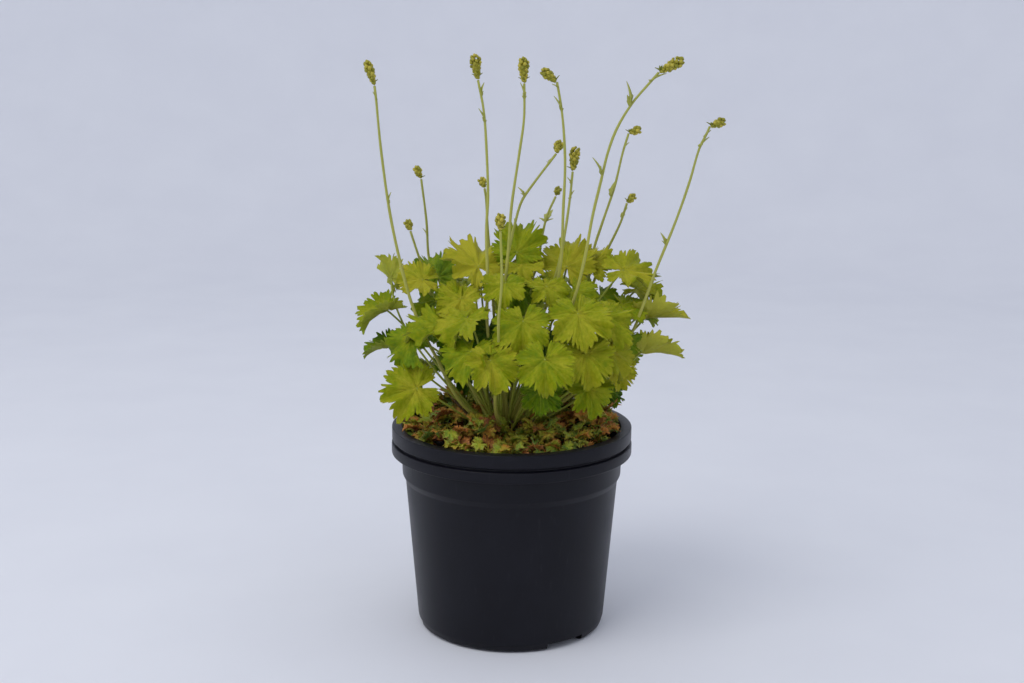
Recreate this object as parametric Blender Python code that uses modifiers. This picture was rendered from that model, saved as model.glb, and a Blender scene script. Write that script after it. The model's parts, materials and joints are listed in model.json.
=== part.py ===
"""A heuchera (coral bells) in bud, growing in its round black nursery pot.

Lengths are metres, +Z is up. The origin is the middle of the pot's underside, and the view from -Y is
the front of the plant. Sizes written in millimetres are turned to metres by MM.
"""
import math
import random
from collections import namedtuple

import bpy
import bmesh
from mathutils import Matrix, Vector

MM = 0.001
GAP = 0.3 * MM

# Pot: a 17 cm round nursery pot with a turned-down lip in two bands
POT_HEIGHT = 146 * MM
RIM_RADIUS = 85.0 * MM
MOUTH_RADIUS = 77.4 * MM
BASE_RADIUS = 67.3 * MM
COLLAR_RADIUS = 78.4 * MM
COLLAR_BOTTOM = 111.5 * MM
BODY_TOP_RADIUS = 75.6 * MM
BODY_TOP = 107 * MM
GROOVE_TOP = 137 * MM
GROOVE_BOTTOM = 134.4 * MM
GROOVE_DEPTH = 1.8 * MM
LIP_BOTTOM = 127 * MM
LIP_ROUND = 1.0 * MM
FOOT_ROUND = 4.5 * MM
FLOOR_TOP = 7.5 * MM
WALL = 1.8 * MM
POT_SIDES = 32

# Three drain notches in the foot, each with two round holes through the floor
NOTCH_FIRST_DEG = -54.4
NOTCH_COUNT = 3
NOTCH_WIDTH = 30 * MM
NOTCH_HEIGHT = 5.2 * MM
NOTCH_INNER_RADIUS = 44 * MM
DRAIN_RADIUS = 3.5 * MM
DRAIN_AT_RADIUS = 58 * MM
DRAIN_SPREAD_DEG = 7.5

# Soil, and the crown whose dome carries every petiole and flower stem
SOIL_LEVEL = 128 * MM
SOIL_SIDES = 18
CROWN_CENTRE = Vector((-5, 0, 132)) * MM
CROWN_RADIUS = 17 * MM
CROWN_WAIST = 14.5 * MM
CROWN_FOOT = 112 * MM
CROWN_SIDES = 12
SEAT_LIFT = 0.7 * MM
SEAT_SPACING_DEG = 13
SEAT_LOWEST_DEG = 14
SEAT_ROUNDS = 60

# Leaves: the margin's reach at each share of a lobe, in half widths
BLADE_THICKNESS = 0.8 * MM
PETIOLE_RADIUS = 1.05 * MM
PETIOLE_POINTS = {3: 4, 2: 3}
TIP_REACH = 0.24
SINUS_HALF_DEG = 20
SINUS_REACH = 0.17
LOBES = 5
LOBE_TEETH = {
    3: [(0, 0.68), (0.15, 0.93), (0.3, 0.85), (0.5, 1.04), (0.7, 0.85), (0.85, 0.93)],
    2: [(0, 0.70), (0.25, 0.97), (0.5, 0.84), (0.75, 0.97)],
}
WAVE = 0.07
INNER_RING = 0.5

# Flower stems and bud heads
STEM_POINTS = 8
STEM_FOOT_RADIUS = 1.35 * MM
STEM_TIP_RADIUS = 0.85 * MM
BRACT_THICKNESS = 0.7 * MM
BUD_OUT = 1.08
BUD_IN = 0.76

# Basal shoots: rosettes of low, old, toothed leaves in a mat over the soil
SHOOTS = 6
SHOOT_FIRST_DEG = 30
SHOOT_FOOT_RADIUS = 28 * MM
SHOOT_FOOT = 122 * MM
SHOOT_RADIUS = 1.3 * MM
SHOOT_HOLE_RADIUS = 2.2 * MM
SHOOT_SWELL = 4 * MM
ROSETTES = [(39, 0, 9, 12), (62, -15, 14, 14), (62, 15, 17, 14), (44, 30, 19, 10)]
ROSETTE_HOLD = 0.45
ROSETTE_REACHES = [0.55, 0.95, 1.0]
ROSETTE_LEAVES = 5
ROSETTE_THICKNESS = 0.8 * MM
RUSSET_SHOOTS = (0, 3, 4)

Leaf = namedtuple("Leaf", "hub heading pitch roll half_width bend cup teeth")
Stem = namedtuple("Stem", "route head bracts")
Bract = namedtuple("Bract", "place heading pitch length")
Head = namedtuple("Head", "lean length width")


def leaf(hub, heading, pitch, roll, half_width, bend=20, cup=15, teeth=3):
    """A leaf by its hub in mm, its tip's heading and pitch, its roll, half width in mm, bend and cup"""
    return Leaf(Vector(hub) * MM, heading, pitch, roll, half_width * MM, bend, cup, teeth)


def stem(route, head, bracts):
    """A flower stem by its route in mm, the bud head on its tip and its bracts"""
    return Stem([Vector(point) * MM for point in route], head, bracts)


def bract(place, heading, pitch, length):
    """A bract by its place along the stem (0 to 1), heading, pitch and length in mm"""
    return Bract(place, heading, pitch, length * MM)


def head(lean, length, width):
    """A bud head by the way it leans and its length and width in mm"""
    return Head(Vector(lean).normalized(), length * MM, width * MM)


# Each group of leaves rises from one seat on the crown. Headings: 0 is right, 90 back, 180 left
LEAF_GROUPS = {
    "leaves_far_left": [
        leaf((-89, 4, 227), 190, -18, -5, 19, 38, 72),
        leaf((-86, 18, 247), 150, 66, 65, 14, 10, 40, 2),
        leaf((-85, 2, 201), 184, 0, -5, 16, 20, 65),
    ],
    "leaves_upper_left": [
        leaf((-63, 0, 249), 186, 4, -35, 16, 20, 20),
        leaf((-54, 32, 246), 110, 42, -15, 18, 15, 15, 2),
    ],
    "leaves_left_middle": [
        leaf((-48, -38, 224), 184, -2, -22, 20, 30, 25),
        leaf((-68, -37, 214), 208, -55, -18, 17, 26, 16, 2),
        leaf((-36, -22, 238), 182, 0, -46, 14, 20, 20, 2),
        leaf((-31, -52, 231), 232, -28, 5, 19, 10, 15),
        leaf((-35, -24, 240), 250, -45, 0, 15, 20, 20, 2),
    ],
    "leaf_low_left": [
        leaf((-64, -50, 179), 196, -10, -56, 20, 12, 12),
    ],
    "leaves_back_left_low": [
        leaf((-62, 42, 203), 150, -5, -35, 15, 20, 18, 2),
        leaf((-44, 14, 187), 170, 5, -45, 11, 15, 20, 2),
    ],
    "leaf_top_left": [
        leaf((-24, 0, 259), 135, 38, -12, 22, 14, 14),
    ],
    "leaves_top_middle": [
        leaf((3, 6, 268), 62, 55, 15, 19, 12, 18),
        leaf((-6, 6, 243), 95, 30, 0, 16, 20, 15, 2),
    ],
    "leaves_front_left": [
        leaf((-27, -72, 213), 240, -38, 5, 19, 24, 15),
        leaf((-5, -38, 253), 265, -35, 0, 15, 20, 15, 2),
        leaf((-14, -85, 210), 300, -50, 10, 17, 20, 20),
    ],
    "leaves_front_middle": [
        leaf((7, -65, 232), 265, -50, 0, 19, 22, 12),
        leaf((23, -33, 250), 290, -35, 0, 14, 22, 12, 2),
    ],
    "leaves_top_right": [
        leaf((14, -18, 250), 75, 2, 10, 14, 16, 16, 2),
        leaf((38, 8, 258), 80, 50, 5, 20, 15, 18),
    ],
    "leaves_upper_right": [
        leaf((56, 12, 258), 75, 42, 5, 16, 18, 18, 2),
        leaf((77, -2, 257), 12, 0, 26, 19, 20, 15),
    ],
    "leaves_far_right": [
        leaf((89, 16, 241), 12, -8, 22, 17, 20, 18, 2),
        leaf((93, 0, 223), 356, 2, 2, 23, 8, 72),
    ],
    "leaves_low_right": [
        leaf((90, -5, 198), 354, 2, 8, 23, 15, 75),
        leaf((70, -34, 196), 320, -66, 15, 14, 20, 50, 2),
    ],
    "leaves_front_right": [
        leaf((43, -63, 237), 285, -45, 5, 21, 20, 12),
        leaf((61, -48, 233), 318, -42, 8, 19, 22, 12),
    ],
    "leaves_front_hanging": [
        leaf((21, -90, 212), 272, -58, 0, 19, 16, 10),
        leaf((19, -66, 186), 270, -66, 0, 14, 12, 12, 2),
    ],
    "leaves_mid_right": [
        leaf((48, -70, 212), 290, -55, 5, 18, 18, 12),
        leaf((66, -50, 210), 325, -48, 8, 17, 22, 14, 2),
        leaf((51, -60, 187), 300, -60, 5, 16, 16, 12),
    ],
    "leaves_back_left": [
        leaf((-48, 62, 214), 128, -25, 0, 21, 22, 14, 2),
        leaf((-30, 48, 242), 115, -5, 0, 20, 20, 14, 2),
        leaf((-62, 60, 176), 135, -38, 0, 20, 18, 12, 2),
        leaf((-24, 82, 190), 105, -38, 0, 20, 18, 12, 2),
    ],
    "leaves_back_middle": [
        leaf((4, 70, 222), 88, -28, 0, 21, 22, 14, 2),
        leaf((4, 40, 252), 92, 5, 0, 18, 20, 14, 2),
        leaf((14, 84, 184), 82, -42, 0, 20, 18, 12, 2),
    ],
    "leaves_back_right": [
        leaf((46, 60, 216), 55, -25, 0, 21, 22, 14, 2),
        leaf((36, 40, 244), 62, -5, 0, 18, 20, 14, 2),
        leaf((60, 64, 180), 48, -38, 0, 20, 18, 12, 2),
        leaf((74, 38, 196), 28, -28, 0, 19, 18, 14, 2),
        leaf((92, 38, 217), 30, -10, 5, 13, 16, 18, 2),
    ],
}

# Flower stems: route points in mm from above the crown to the foot of the bud head, the head's
# lean, length and width in mm, and the bracts by place, heading, pitch and length
FLOWER_STEMS = [
    stem([(-37, -18, 167), (-52, -20, 197), (-63, -20, 219), (-73, -18, 248), (-83, -16, 293),
          (-89, -16, 338), (-92, -16, 373), (-93, -16, 382)],
         head((-0.3, 0, 1), 17, 7.5), [bract(0.96, 200, 70, 7), bract(0.7, 20, 60, 7)]),
    stem([(-44, 38, 205), (-57, 54, 239), (-62, 57, 258), (-63, 51, 284), (-66, 42, 315)],
         head((-0.4, 0, 1), 10, 7), [bract(0.68, 200, 50, 6)]),
    stem([(-51, 12, 212), (-61, 18, 247), (-66, 18, 261), (-72, 14, 281)],
         head((-0.3, 0, 1), 8, 7), []),
    stem([(-17, -22, 218), (-17, -26, 253), (-18, -24, 285), (-17, -20, 310), (-18, -16, 338),
          (-20, -12, 365), (-24, -10, 386)],
         head((-0.15, 0, 1), 17, 9), [bract(0.95, 30, 60, 8), bract(0.87, 160, 60, 9)]),
    stem([(-15, 25, 247), (-18, 27, 282), (-19, 20, 303), (-20, 16, 311)],
         head((-0.3, 0, 1), 8, 7), []),
    stem([(-9, -14, 216), (-5, -20, 252), (-3, -20, 274), (-1, -18, 303), (4, -14, 338),
          (7, -12, 361), (7, -10, 384)],
         head((-0.05, 0, 1), 17, 9), [bract(0.96, 190, 72, 10)]),
    stem([(22, -18, 217), (32, -22, 260), (34, -18, 301), (35, -14, 329), (34, -12, 351),
          (32, -10, 369), (29, -10, 385)],
         head((-0.9, 0, 0.75), 13, 8.5), [bract(0.92, 170, 55, 8)]),
    stem([(-5, -8, 250), (-2, -6, 274), (2, -6, 292), (6, -6, 305), (14, -6, 317), (29, -6, 337)],
         head((0.3, 0, 1), 9, 8), [bract(0.75, 130, 55, 6), bract(0.94, 60, 30, 5)]),
    stem([(20, -2, 219), (31, -6, 258), (35, -4, 277), (39, 2, 304), (41, 6, 324)],
         head((0.12, 0, 1), 17, 9), [bract(0.95, 10, 60, 7)]),
    stem([(-11, -45, 167), (-11, -62, 188), (-9, -72, 214), (-9, -76, 235), (-7, -76, 261),
          (-8, -72, 292)],
         head((0, 0, 1), 11, 8.5), []),
    stem([(29, -34, 209), (41, -40, 242), (48, -38, 270), (53, -32, 297), (58, -30, 319),
          (63, -30, 341), (69, -30, 357), (78, -30, 372), (88, -30, 384), (95, -30, 392)],
         head((0.9, 0, 0.5), 18, 9), [bract(0.8, 150, 80, 11), bract(0.56, 180, 58, 11),
                                      bract(0.95, 10, 25, 9)]),
    stem([(41, 20, 217), (55, 28, 256), (59, 30, 271), (65, 30, 290), (72, 30, 312), (77, 30, 335),
          (81, 30, 349)],
         head((0.9, 0, 0.4), 9, 7.5), [bract(0.72, 40, 55, 6), bract(0.96, 20, 40, 5)]),
    stem([(48, 22, 219), (61, 30, 251), (68, 31, 267), (76, 25, 286), (80, 19, 301)],
         head((0.6, 0, 0.7), 8, 7), [bract(0.84, 30, 60, 8)]),
    stem([(55, -10, 180), (81, -18, 214), (88, -18, 230), (98, -14, 258), (111, -10, 291),
          (120, -8, 318), (126, -6, 340), (131, -6, 351), (133, -6, 356)],
         head((0.85, 0, 0.35), 11, 8), [bract(0.92, 10, 40, 8), bract(0.55, 160, 62, 6)]),
    stem([(5, 22, 217), (18, 24, 258), (20, 24, 273), (24, 24, 291), (30, 24, 305)],
         head((0.3, 0, 1), 7, 6.5), [bract(0.82, 0, 30, 8)]),
]


def start_collection(name):
    """A new collection linked to the scene"""
    made = bpy.data.collections.new(name)
    bpy.context.scene.collection.children.link(made)
    return made


def clear_scene():
    """Remove every object that the file opened with"""
    for old in list(bpy.data.objects):
        bpy.data.objects.remove(old)


def material(name, colour, roughness, metallic=0.0):
    """A plain Principled material"""
    made = bpy.data.materials.new(name)
    made.use_nodes = True
    shader = made.node_tree.nodes["Principled BSDF"]
    shader.inputs["Base Color"].default_value = (*colour, 1)
    shader.inputs["Roughness"].default_value = roughness
    shader.inputs["Metallic"].default_value = metallic
    made.diffuse_color = (*colour, 1)
    return made


def add_object(name, mesh, where, finish=None):
    """An object of a mesh, in a collection, with its material"""
    made = bpy.data.objects.new(name, mesh)
    where.objects.link(made)
    if finish:
        mesh.materials.clear()
        mesh.materials.append(finish)
    return made


def applied(thing):
    """A mesh of the object as its modifiers leave it"""
    bpy.context.view_layer.update()
    evaluated = thing.evaluated_get(bpy.context.evaluated_depsgraph_get())
    return bpy.data.meshes.new_from_object(evaluated)


def fuse(name, pieces, finish):
    """One object from closed pieces on the bench: a Boolean union on a collection, applied"""
    first, rest = pieces[0], pieces[1:]
    joined = bpy.data.collections.new(name + "_pieces")
    bpy.context.scene.collection.children.link(joined)
    for piece in rest:
        joined.objects.link(piece)
        BENCH.objects.unlink(piece)
    if rest:
        union = first.modifiers.new("Join", "BOOLEAN")
        union.operation = "UNION"
        union.operand_type = "COLLECTION"
        union.collection = joined
    made = add_object(name, applied(first), PARTS, finish)
    for piece in pieces:
        bpy.data.objects.remove(piece)
    bpy.data.collections.remove(joined)
    return made


def tube(name, points, radii, resolution):
    """A closed tube along points: a bevelled curve turned into a mesh, its caps welded"""
    curve = bpy.data.curves.new(name, "CURVE")
    curve.dimensions = "3D"
    curve.bevel_depth = 1.0
    curve.bevel_resolution = resolution
    curve.use_fill_caps = True
    line = curve.splines.new("POLY")
    line.points.add(len(points) - 1)
    for point, place, radius in zip(line.points, points, radii):
        point.co = (*place, 1)
        point.radius = radius
    drawn = add_object(name + "_curve", curve, BENCH)
    mesh = applied(drawn)
    bpy.data.objects.remove(drawn)
    welded = bmesh.new()
    welded.from_mesh(mesh)
    bmesh.ops.remove_doubles(welded, verts=welded.verts, dist=1e-6)
    bmesh.ops.triangulate(welded, faces=welded.faces)
    welded.to_mesh(mesh)
    welded.free()
    return add_object(name, mesh, BENCH)


def turned(name, profile, sides, where, finish=None):
    """A turned solid: a profile of (radius, height) points, outer side top to bottom, with a Screw"""
    mesh = bpy.data.meshes.new(name)
    points = [(radius, 0, height) for radius, height in profile]
    mesh.from_pydata(points, [(i, i + 1) for i in range(len(points) - 1)], [])
    made = add_object(name, mesh, where, finish)
    screw = made.modifiers.new("Turn", "SCREW")
    screw.steps = sides
    screw.render_steps = sides
    screw.use_merge_vertices = True
    screw.merge_threshold = 0.00001
    return made


def cutter(name, mesh, place, turn=0.0):
    """A cutter, hidden from renders"""
    made = add_object(name, mesh, CUTTERS)
    made.location = place
    made.rotation_euler.z = turn
    made.hide_render = True
    made.display_type = "WIRE"
    return made


def cut(thing, tool):
    """Cut a tool out of a thing"""
    boolean = thing.modifiers.new("Cut " + tool.name, "BOOLEAN")
    boolean.operation = "DIFFERENCE"
    boolean.object = tool


def primitive_mesh(name, make, **sizes):
    """A mesh from one of bmesh's primitives"""
    shape = bmesh.new()
    make(shape, **sizes)
    mesh = bpy.data.meshes.new(name)
    shape.to_mesh(mesh)
    shape.free()
    return mesh


def cylinder_mesh(name, radius, height, sides):
    """An upright closed cylinder about its own centre"""
    return primitive_mesh(name, bmesh.ops.create_cone, cap_ends=True, segments=sides, radius1=radius,
                          radius2=radius, depth=height)


def box_mesh(name, size):
    """A box about its own centre"""
    return primitive_mesh(name, bmesh.ops.create_cube, size=1, matrix=Matrix.Diagonal((*size, 1)))


def around(radius, angle, height=0.0):
    """A point at a radius and an angle (radians) round the pot's axis"""
    return Vector((radius * math.cos(angle), radius * math.sin(angle), height))


def inner_radius(height):
    """Inner radius of the pot's wall at a height"""
    foot = BASE_RADIUS - WALL
    return foot + (MOUTH_RADIUS - foot) * (height - FLOOR_TOP) / (POT_HEIGHT - FLOOR_TOP)


def build_pot():
    """The pot: one thin wall from its floor up, over the rim and down as a banded lip"""
    groove = RIM_RADIUS - GROOVE_DEPTH
    lip_inside = groove - 1.3 * MM
    band = RIM_RADIUS + 0.3 * MM
    profile = [
        (0, FLOOR_TOP),
        (inner_radius(FLOOR_TOP), FLOOR_TOP),
        (inner_radius(POT_HEIGHT - LIP_ROUND), POT_HEIGHT - LIP_ROUND),
        (MOUTH_RADIUS + LIP_ROUND, POT_HEIGHT),
        (RIM_RADIUS - LIP_ROUND, POT_HEIGHT),
        (RIM_RADIUS, POT_HEIGHT - LIP_ROUND),
        (RIM_RADIUS, GROOVE_TOP),
        (groove, GROOVE_TOP - 0.5 * MM),
        (groove, GROOVE_BOTTOM + 0.3 * MM),
        (band, GROOVE_BOTTOM),
        (band, LIP_BOTTOM),
        (lip_inside, LIP_BOTTOM),
        (lip_inside, POT_HEIGHT - 2 * LIP_ROUND),
        (COLLAR_RADIUS + 0.6 * MM, POT_HEIGHT - 2 * LIP_ROUND),
        (COLLAR_RADIUS - 0.6 * MM, COLLAR_BOTTOM),
        (BODY_TOP_RADIUS, BODY_TOP),
        (BASE_RADIUS, FOOT_ROUND * 1.4),
        (BASE_RADIUS - FOOT_ROUND * 0.3, FOOT_ROUND * 0.35),
        (BASE_RADIUS - FOOT_ROUND, 0),
        (0, 0),
    ]
    pot = turned("pot", profile, POT_SIDES, PARTS, material("black plastic", (0.012, 0.013, 0.017), 0.4))
    middle = (NOTCH_INNER_RADIUS + RIM_RADIUS) / 2
    for number in range(NOTCH_COUNT):
        turn = math.radians(NOTCH_FIRST_DEG + number * 360 / NOTCH_COUNT)
        size = (RIM_RADIUS - NOTCH_INNER_RADIUS, NOTCH_WIDTH, 2 * NOTCH_HEIGHT)
        cut(pot, cutter(f"notch_{number + 1}", box_mesh("notch", size), around(middle, turn), turn))
        for side in (-1, 1):
            angle = turn + math.radians(side * DRAIN_SPREAD_DEG)
            mesh = cylinder_mesh("drain", DRAIN_RADIUS, 2 * FLOOR_TOP, 8)
            place = around(DRAIN_AT_RADIUS, angle, FLOOR_TOP)
            cut(pot, cutter(f"drain_{number + 1}_{side}", mesh, place, angle))
    return pot


def soil_height(x, y):
    """Height of the soil's lumpy top"""
    mound = 3 * MM * max(0, 1 - math.hypot(x, y) / (60 * MM))
    lumps = math.sin(x * 190 + 1.3) * math.cos(y * 170 + 0.4) + 0.6 * math.sin(x * 310 - y * 260)
    return SOIL_LEVEL + mound + 0.8 * MM * lumps


def build_soil():
    """The soil: a plug that fills the pot, with a lumpy top and plain holes for what grows in it"""
    foot = FLOOR_TOP + GAP
    slack = 2 * GAP
    profile = [
        (0, SOIL_LEVEL),
        (32 * MM, SOIL_LEVEL),
        (54 * MM, SOIL_LEVEL),
        (inner_radius(SOIL_LEVEL) - slack, SOIL_LEVEL),
        (inner_radius(foot) - slack, foot),
        (0, foot),
    ]
    raw = turned("soil_raw", profile, SOIL_SIDES, BENCH)
    mesh = applied(raw)
    bpy.data.objects.remove(raw)
    for vertex in mesh.vertices:
        if vertex.co.z > SOIL_LEVEL - GAP:
            vertex.co.z = soil_height(vertex.co.x, vertex.co.y)
    soil = add_object("soil", mesh, PARTS, material("soil", (0.035, 0.024, 0.017), 0.95))
    depth = 60 * MM
    place = (CROWN_CENTRE.x, CROWN_CENTRE.y, CROWN_FOOT - GAP + depth / 2)
    cut(soil, cutter("crown_hole", cylinder_mesh("crown_hole", CROWN_WAIST + 2 * GAP, depth, CROWN_SIDES), place))
    for number in range(SHOOTS):
        depth = 20 * MM
        place = around(SHOOT_FOOT_RADIUS, shoot_angle(number), SHOOT_FOOT - GAP + depth / 2)
        mesh = cylinder_mesh("shoot_hole", SHOOT_HOLE_RADIUS, depth, 6)
        cut(soil, cutter(f"shoot_hole_{number + 1}", mesh, place, shoot_angle(number)))
    return soil


def build_crown():
    """The woody crown: a dome on a buried stump, set in its hole in the soil"""
    steps = 6
    neck = math.acos(CROWN_WAIST / CROWN_RADIUS)
    profile = []
    for step in range(steps + 1):
        angle = math.pi / 2 - step * (math.pi / 2 - neck) / steps
        profile.append((CROWN_RADIUS * math.cos(angle), CROWN_RADIUS * math.sin(angle)))
    foot = CROWN_FOOT - CROWN_CENTRE.z
    profile += [(CROWN_WAIST, foot), (0, foot)]
    crown = turned("crown", profile, CROWN_SIDES, PARTS, material("crown", (0.12, 0.09, 0.045), 0.85))
    crown.location = CROWN_CENTRE
    return crown


def frame_axes(heading, pitch, roll=0.0):
    """Tip, left side and upper-face directions of a blade, from its angles in degrees"""
    heading, pitch, roll = (math.radians(value) for value in (heading, pitch, roll))
    tip = Vector((math.cos(pitch) * math.cos(heading), math.cos(pitch) * math.sin(heading), math.sin(pitch)))
    level = Vector((-math.sin(heading), math.cos(heading), 0))
    side = math.cos(roll) * level + math.sin(roll) * tip.cross(level)
    return tip, side, tip.cross(side)


def blade_point(blade, angle, reach):
    """Point of a leaf's middle surface, from the angle off its tip and the reach from its hub"""
    tip, side, normal = frame_axes(blade.heading, blade.pitch, blade.roll)
    along, across = reach * math.cos(angle), reach * math.sin(angle)
    bend = math.radians(blade.bend) / (blade.half_width * (1 + TIP_REACH))
    cup = math.radians(blade.cup) / blade.half_width
    turn, lift = bend * along, cup * across
    lobe = 2 * (math.pi - math.radians(SINUS_HALF_DEG)) / LOBES
    ruffle = math.cos(2 * math.pi * angle / lobe + math.pi * (LOBES % 2))
    rise = (1 - math.cos(lift)) / cup + ruffle * WAVE * reach ** 2 / blade.half_width
    return (
        blade.hub
        + tip * (math.sin(turn) * (1 / bend + rise))
        + normal * ((math.cos(turn) - 1) / bend + math.cos(turn) * rise)
        + side * (math.sin(lift) / cup)
    )


def margin(blade):
    """Angle and reach of each point of a leaf's lobed and toothed margin, between the sinus's sides"""
    span = 180 - SINUS_HALF_DEG
    teeth = LOBE_TEETH[blade.teeth]
    shares = [(lobe + share, reach) for lobe in range(LOBES) for share, reach in teeth] + [(LOBES, teeth[0][1])]
    points = []
    for place, reach in shares:
        angle = math.radians(-span + place * 2 * span / LOBES)
        points.append((angle, blade.half_width * reach * (1 + TIP_REACH * math.cos(angle))))
    return points


def thicken(name, surface, thickness):
    """A closed blade on the bench from an open surface of triangles, with Solidify"""
    mesh = bpy.data.meshes.new(name)
    surface.to_mesh(mesh)
    surface.free()
    sheet = add_object(name + "_sheet", mesh, BENCH)
    solidify = sheet.modifiers.new("Thickness", "SOLIDIFY")
    solidify.thickness = thickness
    solidify.offset = 0
    solid = applied(sheet)
    bpy.data.objects.remove(sheet)
    return add_object(name, solid, BENCH)


def build_blade(name, blade):
    """A leaf's blade: the sinus at its foot, an inner ring and the toothed margin, joined by triangles"""
    surface = bmesh.new()
    outline = margin(blade)
    ring = 2 * len(outline) // 9
    sinus = surface.verts.new(blade_point(blade, math.pi, SINUS_REACH * blade.half_width))
    outer = [surface.verts.new(blade_point(blade, angle, reach)) for angle, reach in outline]
    inner_angles = [-math.pi + (number + 0.5) * 2 * math.pi / ring for number in range(ring)]
    inner = []
    for angle in inner_angles:
        reach = INNER_RING * blade.half_width * (1 + TIP_REACH * math.cos(angle))
        inner.append(surface.verts.new(blade_point(blade, angle, reach)))
    i = j = 0
    while i < ring - 1 or j < len(outline) - 1:
        next_inner = inner_angles[i + 1] if i < ring - 1 else math.inf
        next_outer = outline[j + 1][0] if j < len(outline) - 1 else math.inf
        if next_outer <= next_inner:
            surface.faces.new((inner[i], outer[j], outer[j + 1]))
            j += 1
        else:
            surface.faces.new((inner[i], outer[j], inner[i + 1]))
            surface.faces.new((sinus, inner[i], inner[i + 1]))
            i += 1
    surface.faces.new((sinus, outer[0], inner[0]))
    surface.faces.new((inner[-1], outer[-1], sinus))
    return thicken(name, surface, BLADE_THICKNESS)


def seat_direction(toward):
    """Direction of a seat on the crown's dome, no lower than the soil lets it be"""
    level = math.hypot(toward.x, toward.y)
    lowest = level * math.tan(math.radians(SEAT_LOWEST_DEG))
    return Vector((toward.x, toward.y, max(toward.z, lowest))).normalized()


def spread_seats(wanted):
    """Seats for all that rises from the crown, pushed apart on its dome until none crowd each other"""
    seats = [seat_direction(direction) for direction in wanted]
    least = 2 * math.sin(math.radians(SEAT_SPACING_DEG) / 2)
    for _ in range(SEAT_ROUNDS):
        for i, _ in enumerate(seats):
            for j in range(i):
                apart = seats[i] - seats[j]
                if apart.length < least:
                    push = apart.normalized() * (least - apart.length) / 2
                    seats[i] = seat_direction(seats[i] + push)
                    seats[j] = seat_direction(seats[j] - push)
    return seats


def crown_seats():
    """The seat of each leaf group by name and of each flower stem by number"""
    wanted = {}
    for name, group in LEAF_GROUPS.items():
        wanted[name] = sum(((blade.hub - CROWN_CENTRE).normalized() for blade in group), Vector())
    for number, flower in enumerate(FLOWER_STEMS, 1):
        wanted[number] = flower.route[0] - CROWN_CENTRE
    return dict(zip(wanted, spread_seats(list(wanted.values()))))


def petiole_path(blade, outward, count):
    """Points of a petiole: a cubic Bezier from its seat on the crown to the blade's hub"""
    seat = CROWN_CENTRE + outward * (CROWN_RADIUS + SEAT_LIFT)
    tip, side, normal = frame_axes(blade.heading, blade.pitch, blade.roll)
    span = blade.hub - seat
    arrival = (0.5 * tip + 0.6 * normal + 0.5 * span.normalized()).normalized()
    handles = seat, seat + outward * span.length * 0.3, blade.hub - arrival * span.length * 0.3, blade.hub
    points = []
    for number in range(count):
        t = number / (count - 1)
        weights = (1 - t) ** 3, 3 * t * (1 - t) ** 2, 3 * t * t * (1 - t), t ** 3
        points.append(sum((weight * handle for weight, handle in zip(weights, handles)), Vector()))
    return points


def leaf_pieces(name, group, outward):
    """The blades and petioles of a group of leaves, which share one seat on the crown"""
    pieces = []
    for number, blade in enumerate(group, 1):
        pieces.append(build_blade(f"{name}_blade_{number}", blade))
        count = PETIOLE_POINTS[blade.teeth]
        path = petiole_path(blade, outward, count)
        radii = [PETIOLE_RADIUS * (1.15 - 0.3 * i / (count - 1)) for i in range(count)]
        pieces.append(tube(f"{name}_petiole_{number}", path, radii, 0))
    return pieces


def through(points, count):
    """Points of a smooth curve through the given ones, evenly spread along it"""
    ends = [2 * points[0] - points[1]] + points + [2 * points[-1] - points[-2]]
    fine = []
    for before, a, b, after in zip(ends, ends[1:], ends[2:], ends[3:]):
        for step in range(12):
            t = step / 12
            fine.append(0.5 * (2 * a + (b - before) * t + (2 * before - 5 * a + 4 * b - after) * t ** 2
                               + (3 * a - before - 3 * b + after) * t ** 3))
    fine.append(points[-1])
    lengths = [0.0]
    for a, b in zip(fine, fine[1:]):
        lengths.append(lengths[-1] + (b - a).length)
    made = [fine[0]]
    for number in range(1, count):
        goal = lengths[-1] * number / (count - 1)
        place = next(i for i, value in enumerate(lengths) if value >= goal - 1e-9)
        share = (goal - lengths[place - 1]) / (lengths[place] - lengths[place - 1])
        made.append(fine[place - 1].lerp(fine[place], share))
    return made


def stem_path(flower, outward, count):
    """A flower stem's path from its seat on the crown to the foot of its head"""
    seat = CROWN_CENTRE + outward * (CROWN_RADIUS + SEAT_LIFT)
    return through([seat, seat + outward * 8 * MM] + flower.route, count)


def build_bract(name, place, heading, pitch, length):
    """A pointed bract: two triangles folded along its middle, thickened"""
    tip, side, normal = frame_axes(heading, pitch)
    middle = place + (tip * 0.42 + normal * 0.1) * length
    surface = bmesh.new()
    foot = surface.verts.new(place)
    left = surface.verts.new(middle + side * 0.2 * length)
    right = surface.verts.new(middle - side * 0.2 * length)
    end = surface.verts.new(place + tip * length)
    surface.faces.new((foot, right, end))
    surface.faces.new((foot, end, left))
    return thicken(name, surface, BRACT_THICKNESS)


def stem_pieces(name, flower, outward):
    """A flower stem and its bracts"""
    path = stem_path(flower, outward, STEM_POINTS)
    step = (STEM_TIP_RADIUS - STEM_FOOT_RADIUS) / (STEM_POINTS - 1)
    pieces = [tube(name + "_stalk", path, [STEM_FOOT_RADIUS + step * number for number in range(STEM_POINTS)], 0)]
    for number, leaflet in enumerate(flower.bracts, 1):
        spot = leaflet.place * (STEM_POINTS - 1)
        place = path[int(spot)].lerp(path[int(spot) + 1], spot - int(spot))
        pieces.append(build_bract(f"{name}_bract_{number}", place, leaflet.heading, leaflet.pitch,
                                  leaflet.length))
    return pieces


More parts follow.
